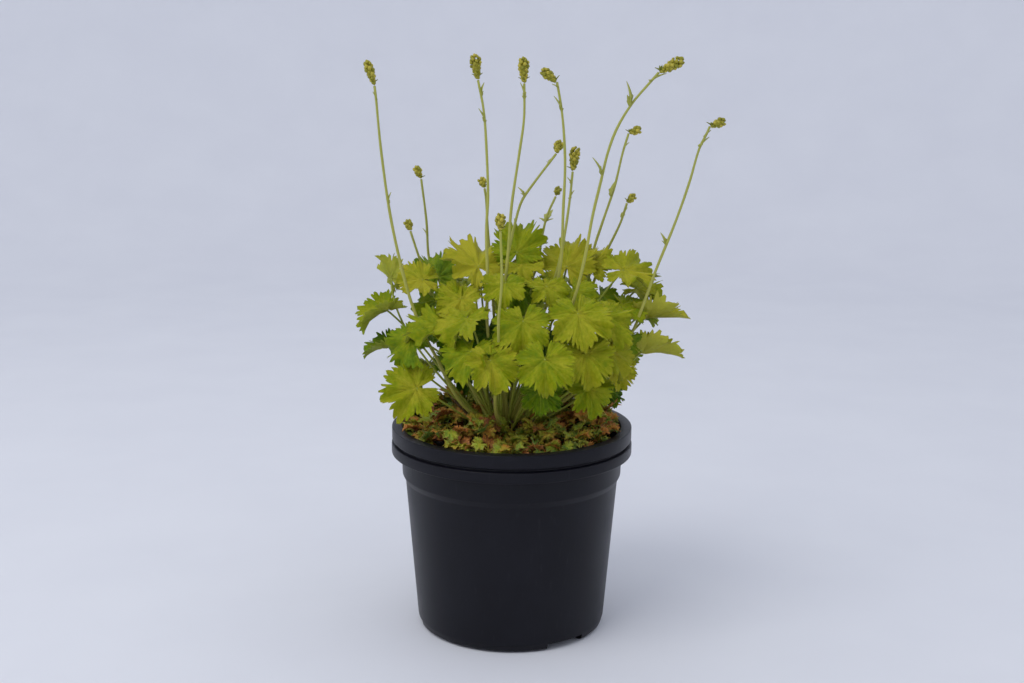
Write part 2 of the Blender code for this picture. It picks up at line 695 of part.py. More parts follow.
def build_bud_head(name, flower, outward, finish):
    """A dense head of buds: every other point of a sphere stands out as a bud, in staggered rows"""
    buds = flower.head
    around_count, rows = (8, 8) if buds.length > 10 * MM else (8, 6)
    shape = bmesh.new()
    bmesh.ops.create_uvsphere(shape, u_segments=around_count, v_segments=rows, radius=1)
    low = set()
    for vertex in shape.verts:
        row = round(math.acos(max(-1, min(1, vertex.co.z))) / math.pi * rows)
        spoke = math.floor(math.atan2(vertex.co.y, vertex.co.x) / (2 * math.pi) * around_count + 0.1)
        if 0 < row < rows:
            taper = 1.08 - 0.16 * vertex.co.z
            if (row + spoke) % 2:
                low.add(vertex)
            vertex.co *= BUD_IN if vertex in low else BUD_OUT
            vertex.co.x *= taper
            vertex.co.y *= taper
    for face in list(shape.faces):
        if len(face.verts) == 4:
            valley = [vertex for vertex in face.verts if vertex in low]
            bmesh.utils.face_split(face, valley[0], valley[1])
    foot = stem_path(flower, outward, STEM_POINTS)[-1]
    centre = foot + buds.lean * (buds.length / 2 + GAP + STEM_TIP_RADIUS / 2)
    turn = buds.lean.to_track_quat("Z", "Y").to_matrix().to_4x4()
    sizes = Matrix.Diagonal((buds.width / 2, buds.width / 2, buds.length / 2, 1))
    shape.transform(Matrix.Translation(centre) @ turn @ sizes)
    mesh = bpy.data.meshes.new(name)
    shape.to_mesh(mesh)
    shape.free()
    return add_object(name, mesh, PARTS, finish)


def shoot_angle(number):
    """Heading of a basal shoot, in radians"""
    return math.radians(SHOOT_FIRST_DEG + number * 360 / SHOOTS)


def build_rosette(name, centre, heading, tilt, radius, chance):
    """A rosette of small old leaves, run together as one disc of toothed lobes set at odd angles"""
    tip, side, normal = frame_axes(heading, tilt)
    surface = bmesh.new()
    rim = []
    count = ROSETTE_LEAVES * len(ROSETTE_REACHES)
    for number in range(count):
        tooth = number % len(ROSETTE_REACHES)
        if tooth == 0:
            slope = chance.uniform(0.1, 0.55)
        angle = (number + chance.uniform(-0.1, 0.1)) * 2 * math.pi / count
        reach = radius * ROSETTE_REACHES[tooth] * chance.uniform(0.88, 1)
        lift = reach * (slope if tooth else 0.1)
        rim.append(surface.verts.new(centre + tip * reach * math.cos(angle) + side * reach * math.sin(angle)
                                     + normal * lift))
    hub = surface.verts.new(centre)
    for left, right in zip(rim, rim[1:] + rim[:1]):
        surface.faces.new((hub, left, right))
    hold = centre.lerp((rim[1].co + rim[2].co) / 2, ROSETTE_HOLD)
    return thicken(name, surface, ROSETTE_THICKNESS), hold


def shoot_pieces(name, number):
    """A shoot that forks low over the soil to rosettes of old leaves"""
    chance = random.Random(40 + number)
    middle = shoot_angle(number)
    swell = SHOOT_SWELL * math.cos(middle) ** 2
    foot = around(SHOOT_FOOT_RADIUS, middle, SHOOT_FOOT)
    fork = around(SHOOT_FOOT_RADIUS, middle, SOIL_LEVEL + 4 * MM)
    pieces = []
    for rosette, (distance, swing, height, radius) in enumerate(ROSETTES):
        heading = math.degrees(middle) + swing
        centre = around(distance * MM, math.radians(heading), SOIL_LEVEL + height * MM + swell)
        tilt = chance.uniform(-24, -6)
        disc, hold = build_rosette(f"{name}_rosette_{rosette}", centre, heading, tilt, radius * MM, chance)
        path = [fork, hold] if pieces else [foot, fork, hold]
        pieces.append(disc)
        pieces.append(tube(f"{name}_branch_{rosette}", path, [SHOOT_RADIUS] * (len(path) - 1) + [0.9 * MM], 0))
    return pieces


def build():
    """Every piece of the plant and its pot"""
    build_pot()
    build_soil()
    build_crown()
    seats = crown_seats()
    green = material("leaf green", (0.16, 0.24, 0.018), 0.55)
    for name, group in LEAF_GROUPS.items():
        fuse(name, leaf_pieces(name, group, seats[name]), green)
    stalk = material("stem green", (0.30, 0.32, 0.07), 0.5)
    buds = material("bud olive", (0.17, 0.19, 0.015), 0.6)
    for number, flower in enumerate(FLOWER_STEMS, 1):
        name = f"flower_stem_{number:02d}"
        fuse(name, stem_pieces(name, flower, seats[number]), stalk)
        build_bud_head(f"bud_head_{number:02d}", flower, seats[number], buds)
    old_green = material("old leaf green", (0.13, 0.15, 0.03), 0.7)
    russet = material("old leaf russet", (0.26, 0.10, 0.03), 0.75)
    for number in range(SHOOTS):
        name = f"basal_shoot_{number + 1}"
        fuse(name, shoot_pieces(name, number), russet if number in RUSSET_SHOOTS else old_green)
    bpy.data.collections.remove(BENCH)


clear_scene()
PARTS = start_collection("heuchera")
CUTTERS = start_collection("cutters")
BENCH = start_collection("bench")
build()
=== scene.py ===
"""The finish of a heuchera (coral bells) in bud, in its round black nursery pot.

Lengths are metres, +Z is up, and the view from -Y is the front of the plant. Each solid of the frame is
replaced by a finer piece of the same form: cut and veined leaves on round stalks, heads of separate buds,
a mat of small old leaves, crumbly soil and a moulded pot with scuffed sides.
"""
import json
import math
import random
from collections import namedtuple

import bpy
import bmesh
import numpy as np
from mathutils import Matrix, Vector, noise

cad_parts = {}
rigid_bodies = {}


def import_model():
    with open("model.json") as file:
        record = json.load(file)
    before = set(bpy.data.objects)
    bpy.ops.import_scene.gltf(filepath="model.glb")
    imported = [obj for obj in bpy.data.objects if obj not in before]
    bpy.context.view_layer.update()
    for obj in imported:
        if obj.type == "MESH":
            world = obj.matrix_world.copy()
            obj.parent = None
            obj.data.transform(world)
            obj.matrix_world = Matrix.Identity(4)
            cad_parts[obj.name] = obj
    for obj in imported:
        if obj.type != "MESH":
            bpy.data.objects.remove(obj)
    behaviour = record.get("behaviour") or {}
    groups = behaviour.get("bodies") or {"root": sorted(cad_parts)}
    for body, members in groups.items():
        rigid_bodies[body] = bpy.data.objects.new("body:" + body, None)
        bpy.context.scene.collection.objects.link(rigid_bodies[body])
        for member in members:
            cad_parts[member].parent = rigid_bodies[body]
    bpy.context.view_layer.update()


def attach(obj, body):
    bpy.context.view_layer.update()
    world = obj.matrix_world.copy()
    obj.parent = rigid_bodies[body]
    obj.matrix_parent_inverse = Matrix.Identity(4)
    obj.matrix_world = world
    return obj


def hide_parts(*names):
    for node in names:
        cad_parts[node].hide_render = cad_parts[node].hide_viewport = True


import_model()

MM = 0.001

# The photograph's view
LENS = 49.2
CAMERA_PLACE = Vector((-0.0002, -0.965, 0.402))
CAMERA_DOWN_DEG = 11.52
CAMERA_ROLL_DEG = 0.34

# Studio: the floor sweeps up into a wall all round, and the sky lights it from above
SWEEP_FLOOR = 1.6
SWEEP_CURVE = 0.9
SWEEP_TOP = 1.6
SWEEP_STEPS = 16
SWEEP_SIDES = 96
SKY_STRENGTH = 0.76
KEY_POWER = 16
KEY_SIZE = 1.4
KEY_PLACE = Vector((-1.0, -1.0, 1.9))
KEY_AIM = Vector((0, 0, 0.2))

# Pot: a 17 cm round nursery pot with a turned-down lip in two bands
POT_HEIGHT = 146 * MM
RIM_RADIUS = 85.0 * MM
MOUTH_RADIUS = 77.4 * MM
BASE_RADIUS = 67.3 * MM
COLLAR_RADIUS = 78.4 * MM
COLLAR_BOTTOM = 111.5 * MM
BODY_TOP_RADIUS = 75.6 * MM
BODY_TOP = 107 * MM
GROOVE_TOP = 137 * MM
GROOVE_BOTTOM = 134.4 * MM
GROOVE_DEPTH = 2.6 * MM
LIP_BOTTOM = 127 * MM
LIP_ROUND = 1.0 * MM
FOOT_ROUND = 4.5 * MM
FLOOR_TOP = 7.5 * MM
WALL = 1.8 * MM
LIP_WALL = 1.3 * MM
BAND_PROUD = 0.3 * MM
COLLAR_TAPER = 0.6 * MM
POT_SIDES = 144
POT_CORNER = 0.7 * MM
POT_SHARP_DEG = 38

# Three drain notches in the foot, each with two round holes through the floor
NOTCH_FIRST_DEG = -54.4
NOTCH_COUNT = 3
NOTCH_WIDTH = 30 * MM
NOTCH_HEIGHT = 5.2 * MM
NOTCH_INNER_RADIUS = 44 * MM
DRAIN_RADIUS = 3.5 * MM
DRAIN_AT_RADIUS = 58 * MM
DRAIN_SPREAD_DEG = 7.5

# Soil, with a low mound in its middle and crumbs strewn over it
SOIL_LEVEL = 128 * MM
SOIL_SLACK = 0.6 * MM
SOIL_FOOT = 7.8 * MM
SOIL_RINGS = 34
SOIL_SIDES = 96
MOUND_RISE = 3 * MM
MOUND_RADIUS = 60 * MM
CRUMBS = 420
CRUMB_PROFILE = [(0, 1), (0.72, 0.66), (1, 0), (0.68, -0.7), (0, -1)]
CRUMB_SIDES = 7
CRUMB_SIZES = (0.5, 1.9)
CRUMB_SPANS = ((0.7, 1.4), (0.6, 1.2), (0.4, 0.9))

# The crown, whose dome carries every petiole and flower stem
CROWN_CENTRE = Vector((-5, 0, 132)) * MM
CROWN_RADIUS = 17 * MM
CROWN_WAIST = 14.5 * MM
CROWN_FOOT = 112 * MM
SEAT_LIFT = 0.7 * MM
SEAT_SPACING_DEG = 13
SEAT_LOWEST_DEG = 14
SEAT_ROUNDS = 60
CROWN_STEPS = 14
CROWN_SIDES = 48
GOLDEN_ANGLE = 2.39996

# Stubs of old petioles and longer dead stalks on the crown, with ranges in degrees and mm
OLD_BASES = 46
DEAD_STALKS = 7
STUB_RISES = (4, 50)
STUB_LENGTHS = (3, 9)
STUB_RADII = (1.0, 1.7)
DEAD_LENGTHS = (22, 46)
DEAD_RADIUS = 0.6 * MM
STUB_SUNK = 1.5 * MM
TWIG_SIDES = 7

# Leaves
LEAF_THICKNESS = 0.42 * MM
MARGIN_THICKNESS = 0.16 * MM
PETIOLE_RADIUS = 0.85 * MM
PETIOLE_POINTS = 22
PETIOLE_SIDES = 9
PETIOLE_HAIR_GAP = 0.9 * MM
TIP_REACH = 0.24
SINUS_HALF_DEG = 14
BLADE_SPAN = math.pi - math.radians(SINUS_HALF_DEG)
LOBES = 7
LOBE_TURN = 2 * BLADE_SPAN / LOBES
PUCKER = 0.35 * MM
VEIN_RIB = 0.3 * MM

# How far a blade leaves its plain form: a wave for each lobe, broad curls, a frill of the teeth, a quilt
WAVE = 0.17
CURL = 0.13
FRILL = 0.1
QUILT = 0.8 * MM
FRILL_WAVES = 11
TOOTH_WAVES = 35
STIFF_CUP_DEG = 160

# Veins, in half widths of the leaf: the widths of a lobe's main vein and of its side veins in two runs
# each, and each side vein's share of the lobe, start on the main vein and reach
MAIN_VEIN_WIDTHS = [0.034, 0.02]
SIDE_VEIN_WIDTHS = [0.017, 0.012]
SIDE_VEINS = [(0.15, 0.5, 0.98), (0.33, 0.2, 0.93)]
VEIN_BEND = 0.45
VEIN_BOW = 0.04
NO_VEIN = 8

# Half of a lobe's margin: its share of the lobe, and its reach in half widths
HALF_LOBE = [(0, 0.68), (0.035, 0.85), (0.08, 0.96), (0.13, 0.975), (0.165, 0.88), (0.2, 0.96),
             (0.255, 1.05), (0.31, 1.05), (0.345, 0.95), (0.385, 1.03), (0.44, 1.09), (0.5, 1.1)]
LOBE_SIZES = (0.93, 1.07)
TOOTH_SIZES = (0.95, 1.04)
TOOTH_SHIFT = 0.013
LEAF_RINGS = [0, 0.12, 0.27, 0.44, 0.6, 0.75, 0.87, 0.95, 1]

# Flower stems, and the fine hairs of all stalks
STEM_FOOT_RADIUS = 1.3 * MM
STEM_TIP_RADIUS = 0.8 * MM
STEM_POINTS = 48
STEM_SIDES = 10
STEM_HAIR_GAP = 0.45 * MM
STRAIGHT_FOOT = 8 * MM
HAIR_LENGTH = 0.7 * MM
HAIR_RADIUS = 0.035 * MM
HAIR_ROOT = 0.85
HAIR_LEAN = 0.25

# Bud heads: separate buds round a smaller core, on a head that widens towards its top
HEAD_GAP = 0.3 * MM
BUD_RADIUS = 1.25 * MM
BUD_CROWDING = 0.34
BUD_PROFILE = [(0, 1.25), (0.3, 1.08), (0.72, 0.7), (1, 0.15), (0.9, -0.4), (0.55, -0.85), (0, -1.1)]
BUD_SIDES = 10
BUD_RIBS = 5
BUD_RIB_DEPTH = 0.07
BUD_SIZES = (0.75, 1.2)
BUD_TONES = (0.2, 0.8)
HEAD_CORE = 0.6
CORE_STEPS = 8
CORE_SIDES = 14
HEAD_GIRTH = 0.78
HEAD_FLARE = 0.36
HEAD_BRACTS = 4

# A bract's outline: places along it and its half width there. Then a bract and the small ones beside it:
# swing and drop in degrees, share of the length, and width
BRACT_THICKNESS = 0.4 * MM
BRACT_PLACES = np.array([0, 0.12, 0.28, 0.42, 0.5, 0.66, 0.84, 1])
BRACT_WIDTHS = np.array([0, 0.45, 0.8, 1.1, 0.72, 0.55, 0.3, 0])
BRACT_LOBES = [(0, 0, 1, 0.4), (70, 15, 0.52, 0.45), (-70, 10, 0.46, 0.45)]

# Basal shoots: rosettes of low, old, toothed leaves in a mat over the soil. A rosette has its distance
# in mm, swing in degrees, height and radius in mm
SHOOTS = 6
SHOOT_FIRST_DEG = 30
SHOOT_FOOT_RADIUS = 28 * MM
SHOOT_FOOT = 122 * MM
SHOOT_RADIUS = 1.1 * MM
SHOOT_SWELL = 4 * MM
SHOOT_POINTS = 12
ROSETTES = [(39, 0, 9, 12), (62, -15, 14, 14), (62, 15, 17, 14), (44, 30, 19, 10),
            (22, 0, 15, 9), (25, 30, 13, 9), (69, 0, 12, 9), (69, 30, 11, 9)]
ROSETTE_LEAVES = 13
ROSETTE_TURN_DEG = 137.5
ROSETTE_FILL = 0.95
RUSSET_SHOOTS = (0, 3, 4)
BACK_RISE = 7 * MM
MAT_REACH = 71 * MM
HALF_SMALL_LOBE = [(0, 0.54), (0.14, 0.92), (0.31, 0.82), (0.5, 1.08)]
SMALL_RINGS = [0, 0.3, 0.7, 1]
SMALL_LEAF_THICKNESS = 0.35 * MM

# Ranges of the mat's small leaves: half width and rise in mm, the angles in degrees, and tone
SMALL_SIZES = (3.8, 7.2)
SMALL_PITCHES = (-30, 60)
SMALL_ROLLS = (-40, 40)
SMALL_BENDS = (10, 50)
SMALL_CUPS = (12, 60)
SMALL_SWINGS = (-25, 25)
SMALL_RISES = (-3, 8)
SMALL_STALK_RADIUS = 0.38 * MM
TALL_STALK_RADIUS = 0.6 * MM
FRESH_TONES = (0.0, 0.45)
DRY_TONES = (0.5, 0.95)

# The chance that such a leaf is dry: on a russet shoot, on a green one, and more at the plant's sides
RUSSET_DRY = 0.24
GREEN_DRY = 0.06
SIDES_DRY = 0.32

Leaf = namedtuple("Leaf", "hub heading pitch roll half_width bend cup tone")
Stem = namedtuple("Stem", "route head bracts")
Bract = namedtuple("Bract", "place heading pitch length")
Head = namedtuple("Head", "lean length width")


def leaf(hub, heading, pitch, roll, half_width, bend, cup, tone):
    """A leaf by its hub and half width in mm, its tip's heading and pitch, its roll, bend, cup and tone"""
    return Leaf(Vector(hub) * MM, heading, pitch, roll, half_width * MM, bend, cup, tone)


def stem(route, head, bracts):
    """A flower stem by its route in mm, the bud head on its tip and its bracts"""
    return Stem([Vector(point) * MM for point in route], head, bracts)


def bract(place, heading, pitch, length):
    """A bract by its place along the stem (0 to 1), heading, pitch and length in mm"""
    return Bract(place, heading, pitch, length * MM)


def head(lean, length, width):
    """A bud head by the way it leans and its length and width in mm"""
    return Head(Vector(lean).normalized(), length * MM, width * MM)


# Each group of leaves rises from one seat on the crown. Headings: 0 is right, 90 back, 180 left.
# The last number is the leaf's tone, from 0, deep green, to 1, yellow olive: partly the leaf's own colour
# and partly painted light and shade, lighter for leaves high on the mound and darker for those behind or
# under others
LEAF_GROUPS = {
    "leaves_far_left": [
        leaf((-89, 4, 227), 190, -18, -5, 19, 38, 72, 0.6),
        leaf((-86, 18, 247), 150, 66, 65, 14, 10, 40, 0.7),
        leaf((-85, 2, 201), 184, 0, -5, 16, 20, 65, 0.3),
    ],
    "leaves_upper_left": [
        leaf((-63, 0, 249), 186, 4, -35, 16, 20, 20, 0.9),
        leaf((-54, 32, 246), 110, 42, -15, 18, 15, 15, 0.35),
    ],
    "leaves_left_middle": [
        leaf((-48, -38, 224), 184, -2, -22, 20, 30, 25, 0.6),
        leaf((-68, -37, 214), 208, -55, -18, 17, 26, 16, 0.4),
        leaf((-36, -22, 238), 182, 0, -46, 14, 20, 20, 0.65),
        leaf((-31, -52, 231), 232, -28, 5, 19, 10, 15, 0.7),
        leaf((-35, -24, 240), 250, -45, 0, 15, 20, 20, 0.8),
    ],
    "leaf_low_left": [
        leaf((-64, -50, 183), 196, -10, -56, 19.5, 12, 12, 0.75),
    ],
    "leaves_back_left_low": [
        leaf((-62, 42, 203), 150, -5, -35, 15, 20, 18, 0.1),
        leaf((-44, 14, 187), 170, 5, -45, 11, 15, 20, 0.1),
    ],
    "leaf_top_left": [
        leaf((-24, 0, 259), 135, 38, -12, 22, 14, 14, 1.0),
    ],
    "leaves_top_middle": [
        leaf((3, 6, 268), 62, 55, 15, 19, 12, 18, 0.55),
        leaf((-6, 6, 243), 95, 30, 0, 16, 20, 15, 0.5),
    ],
    "leaves_front_left": [
        leaf((-27, -72, 213), 240, -38, 5, 19, 24, 15, 0.5),
        leaf((-5, -38, 253), 265, -35, 0, 15, 20, 15, 0.65),
        leaf((-14, -85, 210), 300, -50, 10, 17, 20, 20, 0.75),
    ],
    "leaves_front_middle": [
        leaf((7, -65, 232), 265, -50, 0, 19, 22, 12, 0.62),
        leaf((23, -33, 250), 290, -35, 0, 14, 22, 12, 0.7),
    ],
    "leaves_top_right": [
        leaf((14, -18, 250), 75, 2, 10, 14, 16, 16, 0.9),
        leaf((38, 8, 258), 80, 50, 5, 20, 15, 18, 0.9),
    ],
    "leaves_upper_right": [
        leaf((56, 12, 258), 75, 42, 5, 16, 18, 18, 0.9),
        leaf((77, -2, 257), 12, 0, 26, 19, 20, 15, 0.8),
    ],
    "leaves_far_right": [
        leaf((89, 16, 241), 12, -8, 22, 17, 20, 18, 0.7),
        leaf((93, 0, 223), 356, 8, -12, 23, 8, 80, 1.0),
    ],
    "leaves_low_right": [
        leaf((90, -5, 199), 354, 8, -18, 22, 15, 84, 1.0),
        leaf((70, -34, 196), 320, -66, 15, 14, 20, 50, 0.95),
    ],
    "leaves_front_right": [
        leaf((43, -63, 237), 285, -45, 5, 21, 20, 12, 0.7),
        leaf((61, -48, 233), 318, -42, 8, 19, 22, 12, 0.7),
    ],
    "leaves_front_hanging": [
        leaf((21, -90, 212), 272, -58, 0, 19, 16, 10, 0.6),
        leaf((19, -66, 186), 270, -66, 0, 14, 12, 12, 0.2),
    ],
    "leaves_mid_right": [
        leaf((48, -70, 212), 290, -55, 5, 18, 18, 12, 0.75),
        leaf((66, -50, 210), 325, -48, 8, 17, 22, 14, 0.8),
        leaf((51, -60, 187), 300, -60, 5, 16, 16, 12, 0.6),
    ],
    "leaves_back_left": [
        leaf((-48, 62, 214), 128, -25, 0, 21, 22, 14, 0.5),
        leaf((-30, 48, 242), 115, -5, 0, 20, 20, 14, 0.5),
        leaf((-62, 60, 176), 135, -38, 0, 20, 18, 12, 0.4),
        leaf((-24, 82, 190), 105, -38, 0, 20, 18, 12, 0.5),
    ],
    "leaves_back_middle": [
        leaf((4, 70, 222), 88, -28, 0, 21, 22, 14, 0.6),
        leaf((4, 40, 252), 92, 5, 0, 18, 20, 14, 0.7),
        leaf((14, 84, 184), 82, -42, 0, 20, 18, 12, 0.35),
    ],
    "leaves_back_right": [
        leaf((46, 60, 216), 55, -25, 0, 21, 22, 14, 0.5),
        leaf((36, 40, 244), 62, -5, 0, 18, 20, 14, 0.6),
        leaf((60, 64, 180), 48, -38, 0, 20, 18, 12, 0.4),
        leaf((74, 38, 196), 28, -28, 0, 19, 18, 14, 0.35),
        leaf((92, 38, 217), 30, -10, 5, 13, 16, 18, 0.15),
    ],
}

# Smaller leaves deep inside the mound, on the same seats, mostly with low tones that are painted shade for
# the shade they sit in
INNER_LEAVES = {
    "leaves_upper_left": [leaf((-53, 8, 233), 200, -20, -10, 15, 20, 16, 0.35)],
    "leaf_top_left": [leaf((-35, -8, 243), 235, -22, -10, 16, 20, 16, 0.6)],
    "leaves_front_left": [leaf((-17, -18, 217), 262, -52, 0, 16, 20, 14, 0.05)],
    "leaves_top_middle": [
        leaf((6, 0, 260), 280, -15, 5, 15, 22, 16, 0.8),
        leaf((5, -15, 246), 268, -38, 0, 16, 20, 14, 0.3),
    ],
    "leaves_top_right": [leaf((41, -22, 246), 285, -30, 5, 17, 20, 14, 0.65)],
    "leaves_upper_right": [
        leaf((76, -12, 234), 320, -22, 8, 16, 20, 16, 0.55),
        leaf((62, 8, 237), 290, -30, 0, 15, 20, 14, 0.3),
    ],
    "leaves_front_right": [leaf((74, -22, 214), 330, -45, 8, 15, 22, 14, 0.35)],
    "leaves_mid_right": [leaf((53, -32, 205), 300, -50, 5, 16, 20, 14, 0.2)],
    "leaves_front_middle": [leaf((23, -18, 207), 278, -48, 0, 16, 20, 14, 0.1)],
    "leaves_back_left": [
        leaf((-31, 25, 183), 255, -40, 0, 16, 18, 12, 0.0),
        leaf((-41, 15, 210), 240, -35, 0, 15, 18, 12, 0.1),
    ],
    "leaves_back_middle": [
        leaf((-5, 20, 188), 270, -42, 0, 17, 18, 12, 0.0),
        leaf((2, 15, 207), 268, -40, 0, 16, 18, 12, 0.0),
    ],
    "leaves_back_right": [
        leaf((20, 20, 179), 280, -45, 0, 16, 18, 12, 0.0),
        leaf((47, 22, 179), 300, -42, 0, 17, 18, 12, 0.0),
        leaf((68, 25, 166), 320, -35, 0, 13, 18, 12, 0.15),
    ],
}

# Old leaves that stand above the mat, by the number of their shoot
TALL_OLD_LEAVES = {
    0: [
        leaf((68, 20, 151), 25, 34, -20, 10, 14, 30, 0.72),
        leaf((60, 34, 152), 60, 30, 10, 8, 14, 30, 0.9),
    ],
    2: [
        leaf((-62, 30, 153), 150, 30, 15, 9, 14, 30, 0.35),
        leaf((-44, 44, 156), 120, 40, -10, 9, 14, 30, 0.6),
    ],
    3: [leaf((-66, -22, 148), 205, 18, 10, 8, 14, 30, 0.7)],
    5: [leaf((66, -24, 149), 330, 12, 0, 8, 14, 30, 0.65)],
}

# Flower stems: route points in mm from above the crown to the foot of the bud head, the head's
# lean, length and width in mm, and the bracts by place, heading, pitch and length
FLOWER_STEMS = [
    stem([(-37, -18, 167), (-52, -20, 197), (-63, -20, 219), (-73, -18, 248), (-83, -16, 293),
          (-89, -16, 338), (-92, -16, 373), (-93, -16, 382)],
         head((-0.3, 0, 1), 17, 7.5), [bract(0.96, 200, 70, 7), bract(0.69, 20, 78, 9)]),
    stem([(-44, 38, 205), (-57, 54, 239), (-62, 57, 258), (-63, 51, 284), (-66, 42, 315)],
         head((-0.4, 0, 1), 10, 7), [bract(0.77, 200, 60, 7)]),
    stem([(-51, 12, 212), (-61, 18, 247), (-66, 18, 261), (-72, 14, 281)],
         head((-0.3, 0, 1), 8, 7), []),
    stem([(-17, -22, 218), (-17, -26, 253), (-18, -24, 285), (-17, -20, 310), (-18, -16, 338),
          (-20, -12, 365), (-24, -10, 386)],
         head((-0.15, 0, 1), 17, 9), [bract(0.953, 30, 78, 10), bract(0.88, 170, 66, 11)]),
    stem([(-15, 25, 247), (-18, 27, 282), (-19, 20, 303), (-20, 16, 311)],
         head((-0.3, 0, 1), 8, 7), []),
    stem([(-9, -14, 216), (-5, -20, 252), (-3, -20, 274), (-1, -18, 303), (4, -14, 338),
          (7, -12, 361), (7, -10, 384)],
         head((-0.05, 0, 1), 17, 9), [bract(0.954, 190, 76, 12)]),
    stem([(22, -18, 217), (32, -22, 260), (34, -18, 301), (35, -14, 329), (34, -12, 351),
          (32, -10, 369), (29, -10, 385)],
         head((-0.9, 0, 0.75), 13, 8.5), [bract(0.918, 170, 62, 12), bract(0.985, 200, 30, 5)]),
    stem([(-5, -8, 250), (-2, -6, 274), (2, -6, 292), (6, -6, 305), (14, -6, 317), (29, -6, 337)],
         head((0.3, 0, 1), 9, 8), [bract(0.82, 150, 50, 8), bract(0.96, 60, 40, 5)]),
    stem([(20, -2, 219), (31, -6, 258), (35, -4, 277), (39, 2, 304), (41, 6, 324)],
         head((0.12, 0, 1), 17, 9), [bract(0.95, 160, 60, 6), bract(0.89, 20, 65, 8)]),
    stem([(-11, -45, 167), (-11, -62, 188), (-9, -72, 214), (-9, -76, 235), (-7, -76, 261),
          (-8, -72, 292)],
         head((0, 0, 1), 11, 8.5), []),
    stem([(29, -34, 209), (41, -40, 242), (48, -38, 270), (53, -32, 297), (58, -30, 319),
          (63, -30, 341), (69, -30, 357), (78, -30, 372), (88, -30, 384), (95, -30, 392)],
         head((0.9, 0, 0.5), 18, 9), [bract(0.893, 165, 82, 17), bract(0.713, 175, 62, 14),
                                      bract(0.97, 5, 28, 12)]),
    stem([(41, 20, 217), (55, 28, 256), (59, 30, 271), (65, 30, 290), (72, 30, 312), (77, 30, 335),
          (81, 30, 349)],
         head((0.9, 0, 0.4), 9, 7.5), [bract(0.79, 30, 72, 13), bract(0.95, 10, 50, 6)]),
    stem([(48, 22, 219), (61, 30, 251), (68, 31, 267), (76, 25, 286), (80, 19, 301)],
         head((0.6, 0, 0.7), 8, 7), [bract(0.93, 30, 60, 9)]),
    stem([(55, -10, 180), (81, -18, 214), (88, -18, 230), (98, -14, 258), (111, -10, 291),
          (120, -8, 318), (126, -6, 340), (131, -6, 351), (133, -6, 356)],
         head((0.85, 0, 0.35), 11, 8), [bract(0.938, 10, 48, 10), bract(0.967, 10, 50, 7),
                                       bract(0.664, 140, 62, 10)]),
    stem([(5, 22, 217), (18, 24, 258), (20, 24, 273), (24, 24, 291), (30, 24, 305)],
         head((0.3, 0, 1), 7, 6.5), [bract(0.88, 60, 35, 14), bract(0.8, 200, 40, 8)]),
]


class Signal:
    """A socket of a material's nodes, so that maths on surface values reads as Python"""

    def __init__(self, finish, socket):
        self.finish = finish
        self.socket = socket

    def __add__(self, other):
        return self.finish.maths("ADD", self, other)

    def __radd__(self, other):
        return self.finish.maths("ADD", other, self)

    def __sub__(self, other):
        return self.finish.maths("SUBTRACT", self, other)

    def __rsub__(self, other):
        return self.finish.maths("SUBTRACT", other, self)

    def __mul__(self, other):
        return self.finish.maths("MULTIPLY", self, other)

    def __rmul__(self, other):
        return self.finish.maths("MULTIPLY", other, self)

    def clamp(self):
        """The value held between 0 and 1"""
        return self.finish.maths("ADD", self, 0.0, clamp=True)


class Finish:
    """A material and its nodes"""

    def __init__(self, name, colour):
        self.material = bpy.data.materials.new(name)
        self.material.use_nodes = True
        self.material.diffuse_color = (*colour, 1)
        self.tree = self.material.node_tree
        self.shader = self.tree.nodes["Principled BSDF"]
        self.feed(self.shader, {"Base Color": colour})

    def feed(self, node, sockets):
        """Set or link a node's sockets"""
        for key, value in sockets.items():
            socket = node.inputs[key]
            if isinstance(value, Signal):
                self.tree.links.new(value.socket, socket)
            elif socket.type == "RGBA":
                socket.default_value = (*value, 1)
            else:
                socket.default_value = value

    def add(self, kind, settings, sockets, output=0):
        """A node's output: its settings are made first, then the values and links of its sockets"""
        node = self.tree.nodes.new(kind)
        for name, value in settings.items():
            if name == "stops":
                ramp = node.color_ramp
                while len(ramp.elements) < len(value):
                    ramp.elements.new(0.5)
                for element, (place, colour) in zip(ramp.elements, value):
                    element.position = place
                    element.color = (*colour, 1)
            else:
                setattr(node, name, value)
        self.feed(node, sockets)
        return Signal(self, node.outputs[output])

    def maths(self, operation, first, second, clamp=False):
        """A Math node on two values"""
        settings = {"operation": operation, "use_clamp": clamp}
        return self.add("ShaderNodeMath", settings, {0: first, 1: second})

    def mix(self, share, first, second):
        """A colour between two"""
        return self.add("ShaderNodeMix", {"data_type": "RGBA"}, {0: share, 6: first, 7: second}, 2)

    def ramp(self, share, stops):
        """A colour from stops of (place, colour)"""
        return self.add("ShaderNodeValToRGB", {"stops": stops}, {"Fac": share})

    def value(self, name):
        """A value that the piece carries on its points"""
        return self.add("ShaderNodeAttribute", {"attribute_name": name}, {}, "Fac")

    def clouds(self, grain, detail, stretch=(1, 1, 1)):
        """Cloudy variation about 0.5, with clouds of a size in metres, stretched along the piece's axes"""
        place = self.add("ShaderNodeTexCoord", {}, {}, "Object")
        place = self.add("ShaderNodeVectorMath", {"operation": "MULTIPLY"}, {0: place, 1: stretch})
        return self.add("ShaderNodeTexNoise", {}, {"Vector": place, "Scale": 1 / grain, "Detail": detail})

    def bump(self, height, depth, strength=1.0):
        """A normal from a height signal, with its full depth in metres"""
        return self.add("ShaderNodeBump", {}, {"Height": height, "Distance": depth, "Strength": strength})

    def done(self, **sockets):
        """The material, with its shader's sockets set: an underscore stands for a space"""
        self.feed(self.shader, {name.replace("_", " "): value for name, value in sockets.items()})
        return self.material


def flesh(weight, radius, depth):
    """Shader values of soft tissue that light passes into"""
    return {"Subsurface_Weight": weight, "Subsurface_Radius": radius, "Subsurface_Scale": depth}


